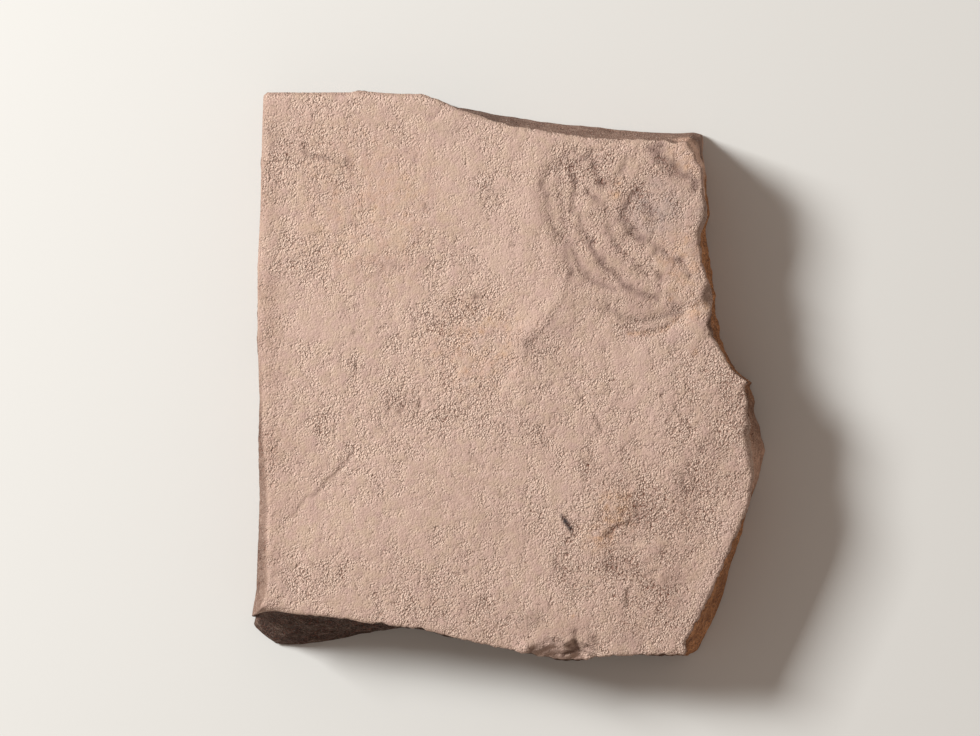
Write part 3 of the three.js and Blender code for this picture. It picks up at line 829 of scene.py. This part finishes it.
# %% [markdown]
# ## One closed skin
#
# A stone is one surface with no seam, so the face, the sides and the back share their points where
# they meet. Three open sheets could be welded afterwards, but a weld can leave gaps. Here each ring
# of points is joined to the ring before it, from the rim of the face down to the middle of the
# back, so every edge belongs to exactly two faces.

# %% Join face, sides and back
MIDDLE_LIFT = 0.3


def band(upper, lower):
    """Quads between two rings of one count, or triangles where the lower has half of it."""
    after_upper, after_lower = np.roll(upper, -1), np.roll(lower, -1)
    if len(upper) == len(lower):
        return np.stack([upper, lower, after_lower, after_upper], -1).tolist()
    first, middle, last = upper[::2], upper[1::2], after_upper[1::2]
    return (
        np.stack([first, lower, middle], -1).tolist()
        + np.stack([middle, lower, after_lower], -1).tolist()
        + np.stack([middle, after_lower, last], -1).tolist()
    )


cells = np.stack(
    [grid_index[:-1, :-1], grid_index[:-1, 1:], grid_index[1:, 1:], grid_index[1:, :-1]], -1
)
faces = cells.reshape(-1, 4).tolist()
blocks = [face.reshape(-1, 3)]
count = grid_index.size
ring = border
for new_points in list(sides[1:]) + back_rings:
    new_ring = np.arange(len(new_points)) + count
    blocks.append(new_points)
    faces += band(ring, new_ring)
    ring = new_ring
    count += len(new_points)
blocks.append(np.array([[*foot_middle, HOLLOW * MIDDLE_LIFT]]))
faces += [[int(a), count, int(b)] for a, b in zip(ring, np.roll(ring, -1))]
skin_points = np.clip(np.vstack(blocks), np.array(solid_low) / MM, np.array(solid_high) / MM)
print("points:", len(skin_points), "faces:", len(faces))

# %% Make the slab
skin_mesh = bpy.data.meshes.new("slab_skin")
skin_mesh.from_pydata((skin_points * MM).tolist(), [], faces)
skin_mesh.shade_smooth()
slab = bpy.data.objects.new("slab_skin", skin_mesh)
bpy.context.scene.collection.objects.link(slab)
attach(slab, "root")
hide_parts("slab")
skin_mesh.calc_loop_triangles()
print("triangles:", len(skin_mesh.loop_triangles))

# %% [markdown]
# ## Stains
#
# The stone's colour comes from its sand, and its stains from water that ran through it: iron on
# the broken right side, grey-purple films in the grooves of the print, ochre where the sand is
# coarse. A texture could hold them, but it would need to be painted. Here each stain is a number
# on every point of the skin, so the material can mix its colour in where the mark really lies.

# %% Draw the patches of other colours
PURPLE_PATCHES = [
    (-15.6, 64.9, 6, 4, 0, 0.4), (-21.4, 44.4, 3, 3, 0, 0.5), (5.8, 8.7, 5, 8, -20, 0.35),
    (11, 13, 5, 5, 0, 0.25), (6.0, -64.5, 6, 4.5, 0, 0.6), (-62.3, 64.0, 5, 8, 0, 0.4),
    (-42.5, 56.6, 4, 4, 0, 0.7), (-49, 57.6, 9, 1.6, 0, 0.6), (34.5, -36.5, 7, 6, 30, 0.45),
    (27.2, -49.5, 4, 6, 0, 0.35), (18.6, -69.5, 4, 7, 20, 0.5), (47.2, -29, 6, 9, 10, 0.35),
    (44, -56, 6, 12, 0, 0.4), (53, -19, 10, 8, 0, 0.3), (-5, 49, 3, 5, 0, 0.4),
    (14, -48, 4, 12, -25, 0.4), (-61, -52, 8, 18, 0, 0.3), (31, -69, 9, 6, 0, 0.4),
    (21.5, -70.6, 5, 5, 0, 0.9), (53, 21.5, 3.5, 4.5, 30, 0.4), (43.8, 55.3, 4.5, 14, 45, 0.5),
    (39.5, 60.5, 5, 4, 0, 0.5),
]
DULL_PATCHES = [
    (38, -48, 40, 58, -12, 0.6), (52, -22, 26, 30, 0, 0.5), (58, -10, 10, 22, 0, 0.5),
    (12, -15, 16, 16, 0, 0.3), (21, -26, 4, 14, 0, 0.5), (50, 8, 7, 9, 0, 0.5),
    (46, -9, 10, 12, 0, 0.4), (-60, -28, 14, 34, 0, 0.4), (-20, -62, 8, 10, 0, 0.5),
    (-25, -53, 10, 5, 0, 0.4), (-40, 3, 3.5, 5, 0, 0.2), (-9, 20, 6, 6, 0, 0.4),
    (-30, 30, 14, 6, 0, 0.3), (-52, 32, 7, 12, 0, 0.15), (15, 5, 7, 12, 0, 0.3),
    (-8, -38, 30, 30, 0, 0.25), (-26, -8, 10, 8, 0, 0.3), (31, 38, 44, 50, -25, 0.35),
    (38, 54, 26, 16, 0, 0.4), (36, 20, 26, 14, 0, 0.35), (-63.8, 0, 8, 150, 0, 0.75),
    (-63.5, -30, 7, 90, 0, 0.9), (0, -66, 64, 16, -6, 0.45), (-30, -58, 60, 24, 0, 0.25),
    (-50, 58, 34, 26, 0, 0.2),
]
# Paler patches of sand, with two painted lights: a painted highlight along the ridge of the left bevel,
# and the chip in the lower edge painted lighter where it lies in shade.
PALE_AND_PAINTED_LIGHT_PATCHES = [
    (-2, 44, 16, 44, 0, 0.5), (-12, 58, 16, 20, 0, 0.5), (3, 11, 6, 18, -15, 0.9),
    (11, 25, 8, 14, 0, 0.5), (38, -13, 9, 17, 15, 0.9), (36, 4, 18, 18, 0, 0.5),
    (-33, -25, 9, 8, 0, 0.5), (54, -52, 5, 34, -17, 0.8), (-50, 18, 26, 20, 0, 0.25),
    (3, -2, 14, 14, 0, 0.4), (42, 9, 16, 6, 0, 0.4), (46.5, 57, 4, 9, 40, 0.8),
    # The first patch on this line paints light on the chip, which faces away from the lamp.
    (12, -72, 12, 4, 0, 1.0), (-4, -2, 46, 50, 0, 0.2), (17, -22, 36, 30, 0, 0.2),
    # A painted highlight along the ridge of the left bevel.
    (-63.6, -45, 2.0, 38, 2.6, 0.25),
]
OCHRE_PATCHES = [
    (28.5, -35.5, 9, 11, 20, 0.6), (46.5, 57.0, 6, 9, 30, 0.5), (29, 49, 5, 6, 0, 0.45),
    (49.6, 6.1, 1.8, 1.4, 0, 1.0), (-8, 8, 26, 24, 30, 0.25), (42.8, 20.3, 1.2, 1.0, 0, 1.0),
    (-20.6, -52.8, 0.9, 0.9, 0, 1.0), (48.0, -66.3, 1.0, 1.2, 0, 1.0), (17.4, -63.6, 1.0, 0.8, 0, 1.0),
    (46, 30, 10, 16, 10, 0.4), (24, -42, 10, 8, 0, 0.4), (50, 17, 8, 4, 30, 0.5),
    (-36, 44, 34, 36, 0, 0.2),
]
BLUE_PATCHES = [(38.5, 44.5, 14, 13, 0, 0.85), (52, 43, 4, 7, 0, 0.8)]
IRON_CRACK = [(31.7, 11.2), (39.8, 11.8), (46.8, 16.6), (53, 18)]
MAUVE_CRACK = [(17.3, 27.2), (14.7, 19.9), (11.1, 13.7), (5.4, 8.5)]
DARK_SPECK = (-11.6, -51.7, 0.9, 0.8)


def blotched(field, size, seed, unevenness=0.3):
    """A stain whose strength comes and goes in blotches of a size in mm."""
    return np.clip(field * (1 - unevenness / 2 + unevenness * cloud(FACE_SHAPE, size, seed)), 0, 1)


in_patches = 0.7 * blotched(patches(PURPLE_PATCHES), 1.2, 101) + 0.12 * line(MAUVE_CRACK, 1.8)
in_grooves = blotched(print_grooves, 0.9, 102, 0.1)
rusting = np.maximum(patches(OCHRE_PATCHES), 0.7 * line(IRON_CRACK, 0.6))
face_stains = {
    "purple": in_patches + in_grooves + 0.25 * print_shade,
    "dull": blotched(patches(DULL_PATCHES), 5.0, 106, 0.25),
    # pale also holds painted light: a highlight on the left bevel and a lighter chip.
    "pale": np.maximum(blotched(patches(PALE_AND_PAINTED_LIGHT_PATCHES), 4.0, 107), 0.8 * scratches),
    "blue": blotched(patches(BLUE_PATCHES), 1.5, 103),
    "ochre": blotched(rusting, 1.0, 104, 0.5),
    # Darker in lone pits, cracks and other pits: painted shade in these hollows, along with one dark
    # speck.
    "dark": together([lone_pits * 0.4, cracks * 0.5, pits * 0.2, oval(*DARK_SPECK)]),
    "slate": fragment,
    "coarse": coarse,
}
print("stains of the face:", list(face_stains))

# %% Find the bevels, which weathered as the sides did
BEVELLED_AROUND = [(88, 0.3), (94, 0.35), (172, 0.5), (186, 1.0), (222.8, 1.0), (223.5, 0)]
BEVEL_SLOPES = (0.3, 0.7)
LEAST_RUN = 0.1

run_up = np.maximum(np.gradient(face[..., 1], axis=0), LEAST_RUN)
run_across = np.maximum(np.gradient(face[..., 0], axis=1), LEAST_RUN)
slopes = np.hypot(np.gradient(heights, axis=0) / run_up, np.gradient(heights, axis=1) / run_across)
bevelled = np.interp(bearing_of(face[..., 0], face[..., 1]), *zip(*BEVELLED_AROUND), period=360)
steep = ease(*BEVEL_SLOPES, soften(slopes, SOFT_CELLS))
steep *= (1 - 0.9 * chip) * (1 - 0.8 * on_face(face_stains["pale"])) * bevelled
print("bevels cover, %:", round(100 * float(steep.mean()), 1))

# %% Put the stains on the points of the skin
RIM_BAND = 0.045
BROKEN_COARSE = 0.7
IRON_FADE = 0.15
BEVEL_PAINTED_SHADE = 0.3
BACK_PAINTED_SHADE = 0.25

side_count = SIDE_ROWS * PERIMETER
back_count = len(skin_points) - grid_index.size - side_count
under_rim = np.repeat(ease(0, RIM_BAND, row_share[1:, 0]), PERIMETER)


def give(name, face_values, side_values, back_value):
    """Stores one number for each point: the face's, then the sides' row by row, then the back's."""
    values = np.concatenate(
        [
            np.broadcast_to(face_values, grid_index.size),
            np.broadcast_to(side_values, side_count),
            np.full(back_count, back_value),
        ]
    )
    stain = skin_mesh.attributes.new(name, "FLOAT", "POINT")
    stain.data.foreach_set("value", np.clip(values, 0, 1).astype(np.float32))


def down_the_sides(face_values):
    """The value at the rim, repeated in every row of the sides."""
    return np.tile(face_values[border], SIDE_ROWS)


for name, field in face_stains.items():
    values = on_face(field).ravel()
    broken_value = BROKEN_COARSE if name == "coarse" else 0
    give(name, values, down_the_sides(values) * (1 - under_rim) + broken_value * under_rim, broken_value)
iron_start = around_at("iron starts")
iron_rows = around_at("iron") * ease(iron_start, iron_start + IRON_FADE, row_share)
give("iron", 0, iron_rows[1:].ravel(), 0)
give("fresh", 0, around_at("fresh")[1:].ravel(), 0)
# The bevels of the face and the back get a little of the same painted shade.
give("painted_shade", BEVEL_PAINTED_SHADE * steep.ravel(), around_at("painted_shade")[1:].ravel() * under_rim, BACK_PAINTED_SHADE)
give("side", steep.ravel(), np.maximum(down_the_sides(steep.ravel()), under_rim), 1)
print("stains:", [stain.name for stain in skin_mesh.attributes if stain.data_type == "FLOAT"])

# %% [markdown]
# ## Writing shader sums as Python
#
# A shader tree is arithmetic on surfaces. Placing every node by hand hides that, so one small class
# wraps a socket and turns ordinary sums into Math nodes. Everything else goes through one method
# that takes a node's type, its settings and what its sockets get.

# %% A socket that can be added and multiplied
class Wire:
    """An output socket. Sums on it add Math nodes to its tree."""

    def __init__(self, maker, socket):
        self.maker = maker
        self.socket = socket

    def sum(self, operation, first, second):
        """One Math node with two inputs."""
        return self.maker.node("ShaderNodeMath", {"operation": operation}, {0: first, 1: second})

    def __add__(self, other):
        return self.sum("ADD", self, other)

    __radd__ = __add__

    def __sub__(self, other):
        return self.sum("SUBTRACT", self, other)

    def __rsub__(self, other):
        return self.sum("SUBTRACT", other, self)

    def __mul__(self, other):
        return self.sum("MULTIPLY", self, other)

    __rmul__ = __mul__


class Maker:
    """Builds one material."""

    def __init__(self, name):
        self.material = bpy.data.materials.new(name)
        self.material.use_nodes = True
        self.tree = self.material.node_tree
        self.tree.nodes.clear()

    def node(self, kind, settings=None, inputs=None, output=0):
        """Adds a node: its settings first, then the values or links of its sockets."""
        made = self.tree.nodes.new(kind)
        for name, value in (settings or {}).items():
            setattr(made, name, value)
        for name, value in (inputs or {}).items():
            socket = made.inputs[name]
            if isinstance(value, Wire):
                self.tree.links.new(value.socket, socket)
            else:
                socket.default_value = value
        return Wire(self, made.outputs[output])

    def stain(self, name):
        """A number stored on the points of the skin."""
        return self.node("ShaderNodeAttribute", {"attribute_name": name}, output="Fac")

    def mixed(self, first, second, share):
        """One colour turning into another."""
        return self.node("ShaderNodeMix", {"data_type": "RGBA"}, {0: share, 6: first, 7: second}, output=2)

    def rise(self, value, low, high):
        """0 below low and 1 above high, with a smooth rise between them."""
        settings = {"interpolation_type": "SMOOTHSTEP"}
        return self.node("ShaderNodeMapRange", settings, {0: value, 1: low, 2: high})

    def vector(self, operation, first, second):
        """Vector Math on two places or directions."""
        return self.node("ShaderNodeVectorMath", {"operation": operation}, {0: first, 1: second})

    def noise(self, size, detail=2.0, roughness=0.5, stretch=None, output=0):
        """Noise with lumps of a size in mm, about 0.5 on average."""
        place = self.node("ShaderNodeTexCoord", output="Object")
        if stretch:
            place = self.vector("MULTIPLY", place, stretch)
        inputs = {"Vector": place, "Scale": 1 / (size * MM), "Detail": detail, "Roughness": roughness}
        return self.node("ShaderNodeTexNoise", inputs=inputs, output=output)

    def ragged_place(self, size, reach):
        """Places on the object, each pushed aside by up to about a reach in mm."""
        push = self.vector("SUBTRACT", self.noise(size, 1, output="Color"), (0.5, 0.5, 0.5))
        push = self.vector("MULTIPLY", push, (2 * reach * MM, 2 * reach * MM, 2 * reach * MM))
        return self.vector("ADD", self.node("ShaderNodeTexCoord", output="Object"), push)

    def grains(self, place, size):
        """Cells of a size in mm: the distance from each one's middle, as a share of that size."""
        inputs = {"Vector": place, "Scale": 1 / (size * MM)}
        return self.node("ShaderNodeTexVoronoi", inputs=inputs, output="Distance")

    def finish(self, sockets):
        """Ends the material in one Principled shader."""
        shader = self.node("ShaderNodeBsdfPrincipled", inputs=sockets)
        end = self.tree.nodes.new("ShaderNodeOutputMaterial")
        self.tree.links.new(shader.socket, end.inputs["Surface"])
        return self.material


def tone(red, green, blue):
    """A colour as seen, 0 to 255, turned into the light that a shader works with."""
    parts = [part / 255 for part in (red, green, blue)]
    return (*[p / 12.92 if p <= 0.04045 else ((p + 0.055) / 1.055) ** 2.4 for p in parts], 1.0)


print("half-bright grey as light:", round(tone(128, 128, 128)[0], 3))

# %% [markdown]
# ## Sandstone
#
# Up close the stone is quartz grains in a pinkish cement, with paler and darker grains between
# them. One flat colour would look like plaster. The colour is built in the order in which the
# stone got it: patches of cement, single grains, then the stains on top. The grains under half a
# millimetre are bump, because the mesh is too coarse to hold them.

# %% Cement and grains
CEMENT_PINK = tone(186, 155, 142)
CEMENT_TAN = tone(187, 162, 138)
CEMENT_LILAC = tone(175, 142, 137)
GRAIN_PALE = tone(250, 221, 202)
GRAIN_RED = tone(170, 122, 100)

stone = Maker("pinkish_sandstone")
coarse_sand = stone.stain("coarse")
crumbling = stone.rise(stone.noise(3.0, detail=4, roughness=0.7) + coarse_sand * 0.15, 0.45, 0.7)
standing = crumbling * (coarse_sand * 0.35 + 0.25) + 0.1
tan_share = stone.rise(stone.noise(4.5, detail=4, roughness=0.65), 0.4, 0.62)
lilac_share = stone.rise(stone.noise(2.8, detail=4, roughness=0.65), 0.46, 0.68)
colour = stone.mixed(CEMENT_PINK, CEMENT_TAN, tan_share * 0.65)
colour = stone.mixed(colour, CEMENT_LILAC, lilac_share * 0.42)
pale_grains = stone.rise(stone.noise(0.5, detail=1), 0.5, 0.68)
red_grains = stone.rise(stone.noise(0.55, detail=1), 0.58, 0.74)
# Where the grains stand up most, the colour is also lifted towards pale: painted light that makes up for
# the shade of their bump, on top of the pale grains themselves.
colour = stone.mixed(colour, GRAIN_PALE, pale_grains * (crumbling * 0.2 + 0.1) + standing * 1.3)
colour = stone.mixed(colour, GRAIN_RED, red_grains * (crumbling * 0.25 + 0.12))
print("nodes for cement and grains:", len(stone.tree.nodes))

# %% Stains of the face
FACE_STAINS = {
    "dull": (tone(164, 132, 116), 0.3, 0.3),
    # pale also paints light: a highlight on the left bevel and a lighter chip.
    "pale": (tone(220, 190, 176), 0.5, 0),
    "blue": (tone(176, 158, 152), 0.4, 0.4),
    "ochre": (tone(206, 158, 112), 0.25, 0.5),
    "purple": (tone(114, 90, 84), 0.45, 0.3),
    # dark carries painted shade in pits and cracks, and one dark speck.
    "dark": (tone(74, 46, 36), 0.75, 0),
    "slate": (tone(46, 44, 48), 1, 0),
}

mottle = stone.rise(stone.noise(1.1, detail=2, roughness=0.6), 0.3, 0.7)
for name, (stain_colour, even_share, mottled_share) in FACE_STAINS.items():
    share = mottle * mottled_share + even_share if mottled_share else even_share
    colour = stone.mixed(colour, stain_colour, stone.stain(name) * share)
print("stains, from the oldest to the newest:", list(FACE_STAINS))

# %% [markdown]
# ## Colours of the broken sides
#
# Broken stone is duller and browner than the face, and shows its beds as level lines. On the right
# iron has turned it orange, and underneath at the lower left it is painted nearly black with shade. A
# second material would end in a hard line along the rim. Here both looks are mixed by the stains on
# the points, and noise that is stretched level draws the beds.

# %% Mix the sides
SIDE_MAUVE = tone(148, 119, 104)
SIDE_BROWN = tone(112, 88, 77)
SIDE_FRESH = tone(238, 197, 174)
IRON_ORANGE = tone(236, 168, 116)
IRON_DARK = tone(160, 108, 72)
IRON_SPECK = tone(88, 54, 36)
# The near-black colour of the painted shade on the sides.
PAINTED_SHADE_BROWN = tone(15, 11, 9)
BED_STREAK = tone(160, 134, 120)
ALONG_BEDS = (0.08, 0.08, 1.0)
LEVEL_CLOUDS = (0.5, 0.5, 1.0)
LEVEL_STREAKS = (0.45, 0.45, 1.0)

bed_lines = stone.rise(stone.noise(1.0, detail=2, roughness=0.5, stretch=ALONG_BEDS), 0.38, 0.62)
iron_clouds = stone.rise(stone.noise(6.0, detail=4, roughness=0.65, stretch=LEVEL_CLOUDS), 0.4, 0.65)
side_mottle = stone.rise(stone.noise(3.0, detail=3, roughness=0.6), 0.35, 0.65)
broken = stone.mixed(SIDE_MAUVE, SIDE_BROWN, bed_lines * 0.4 + side_mottle * 0.2)
rusty = stone.mixed(IRON_ORANGE, IRON_DARK, iron_clouds * 0.45 + bed_lines * 0.15)
iron_specks = stone.rise(stone.noise(0.7, detail=3, roughness=0.7), 0.47, 0.6)
rusty = stone.mixed(rusty, IRON_SPECK, iron_specks * 0.55)
broken = stone.mixed(broken, SIDE_FRESH, stone.stain("fresh") * (side_mottle * 0.2 + 0.8))
broken = stone.mixed(broken, rusty, stone.stain("iron"))
# Painted shade: the sides turned away from the lamp are darkened towards near black.
broken = stone.mixed(broken, PAINTED_SHADE_BROWN, stone.stain("painted_shade") * (side_mottle * 0.1 + 0.85))
streaks = stone.rise(stone.noise(1.3, detail=3, roughness=0.65, stretch=LEVEL_STREAKS), 0.52, 0.64)
broken = stone.mixed(broken, BED_STREAK, stone.stain("painted_shade") * streaks * 0.3)
broken = stone.mixed(broken, GRAIN_PALE, pale_grains * 0.16)
colour = stone.mixed(colour, broken, stone.stain("side"))
print("nodes with the sides:", len(stone.tree.nodes))

# %% [markdown]
# ## Grains of sand
#
# Where the cement has crumbled, single grains stand up, some have dropped out, and thin crusts have
# flaked off in steps. Real grains would need millions of faces. A bump from small cells does the
# same for the light, and its places are pushed aside a little so that no cell has straight edges.

# %% Standing grains, lost grains and flaked crusts
GRAIN_SIZE = 0.5
LUMP_SIZE = 1.1
MIDDLING = 0.42
HOLLOW_SHADE_RED = tone(124, 66, 45)

ragged = stone.ragged_place(0.6, 0.25)
from_grain = stone.grains(ragged, GRAIN_SIZE)
grains = MIDDLING - from_grain
lumps = MIDDLING - stone.grains(ragged, LUMP_SIZE)
torn = stone.noise(0.5, detail=2, roughness=0.6)
lost_grains = stone.rise(torn + crumbling * 0.05 + coarse_sand * 0.07, 0.69, 0.75)
crust = stone.noise(3.0, detail=4, roughness=0.6)
flaked = stone.rise(crust, 0.49, 0.505) + stone.rise(crust, 0.42, 0.435) + stone.rise(crust, 0.57, 0.585)
# The gaps between standing grains and the lost grains are painted darker and redder: painted shade in
# these small hollows.
gaps = stone.rise(from_grain, 0.35, 0.75) * crumbling * (coarse_sand * 0.32 + 0.18)
colour = stone.mixed(colour, HOLLOW_SHADE_RED, gaps + lost_grains * 0.5)
print("grains, mm:", GRAIN_SIZE, "lumps of grains, mm:", LUMP_SIZE)

# %% The finished material
STONE_ROUGHNESS = 0.94
STONE_SPECULAR = 0.25

grain_height = (grains + lumps * 0.3) * standing - lost_grains * 0.3 - flaked * (coarse_sand * 0.1 + 0.02)
bump = {"Strength": 1.0, "Distance": MM, "Height": grain_height}
sandstone = stone.finish(
    {
        "Base Color": colour,
        "Roughness": STONE_ROUGHNESS,
        "Specular IOR Level": STONE_SPECULAR,
        "Normal": stone.node("ShaderNodeBump", inputs=bump),
    }
)
skin_mesh.materials.append(sandstone)
print("shader nodes:", len(stone.tree.nodes))

# %% [markdown]
# ## Floor, light and camera
#
# A specimen like this is looked at from straight above, with one soft lamp low at its upper left so
# that the grain throws small shadows. A lamp from overhead would wash them out. Weak light from all
# round keeps the far sides readable. The camera stands high over the slab, and its long lens keeps
# the sides narrow.

# %% Floor
FLOOR_SIDE = 3.0
FLOOR_GAP = 0.0001
PAPER_TONE = tone(222, 220, 216)
PAPER_ROUGHNESS = 0.9

floor_mesh = bpy.data.meshes.new("floor")
half = FLOOR_SIDE / 2
floor_corners = [(x * half, y * half, -FLOOR_GAP) for x, y in ((-1, -1), (1, -1), (1, 1), (-1, 1))]
floor_mesh.from_pydata(floor_corners, [], [(0, 1, 2, 3)])
floor = bpy.data.objects.new("floor", floor_mesh)
bpy.context.scene.collection.objects.link(floor)
paper = Maker("pale_paper")
floor_mesh.materials.append(paper.finish({"Base Color": PAPER_TONE, "Roughness": PAPER_ROUGHNESS}))
print("floor, m:", FLOOR_SIDE)

# %% Light
LAMP_BEARING = 155
LAMP_HEIGHT_ANGLE = 34
LAMP_DISTANCE = 1.6
LAMP_SIDE = 0.45
LAMP_POWER = 37.6
LAMP_COLOUR = (0.955, 0.98, 0.98)
SKY_TONE = tone(255, 237, 224)
SKY_STRENGTH = 0.3

lamp = bpy.data.lights.new("lamp", "AREA")
lamp.size = LAMP_SIDE
lamp.energy = LAMP_POWER
lamp.color = LAMP_COLOUR
lamp_object = bpy.data.objects.new("lamp", lamp)
bpy.context.scene.collection.objects.link(lamp_object)
bearing = math.radians(LAMP_BEARING)
rise = math.radians(LAMP_HEIGHT_ANGLE)
level = math.cos(rise)
towards_lamp = Vector((math.cos(bearing) * level, math.sin(bearing) * level, math.sin(rise)))
slab_middle = (solid_low + solid_high) / 2
lamp_object.location = slab_middle + towards_lamp * LAMP_DISTANCE
lamp_object.rotation_euler = towards_lamp.to_track_quat("Z", "Y").to_euler()

sky = bpy.data.worlds.new("sky")
sky.use_nodes = True
background = sky.node_tree.nodes["Background"]
background.inputs["Color"].default_value = SKY_TONE
background.inputs["Strength"].default_value = SKY_STRENGTH
bpy.context.scene.world = sky
bpy.context.scene.view_settings.view_transform = "Standard"
print("lamp at, m:", [round(place, 2) for place in lamp_object.location])

# %% Camera
CAMERA_HEIGHT = 2.0
VIEW_WIDTH = 0.2587
VIEW_MIDDLE = (-4.75 + DRAWING_ZERO[0], 2.11 + DRAWING_ZERO[1])
FILM_WIDTH = 36

camera_data = bpy.data.cameras.new("camera")
camera_data.sensor_width = FILM_WIDTH
camera_data.lens = FILM_WIDTH * CAMERA_HEIGHT / VIEW_WIDTH
camera = bpy.data.objects.new("camera", camera_data)
camera_level = float(face[..., 2].mean()) * MM + CAMERA_HEIGHT
camera.location = (VIEW_MIDDLE[0] * MM, VIEW_MIDDLE[1] * MM, camera_level)
bpy.context.scene.collection.objects.link(camera)
bpy.context.scene.camera = camera
print("lens, mm:", round(camera_data.lens, 1))
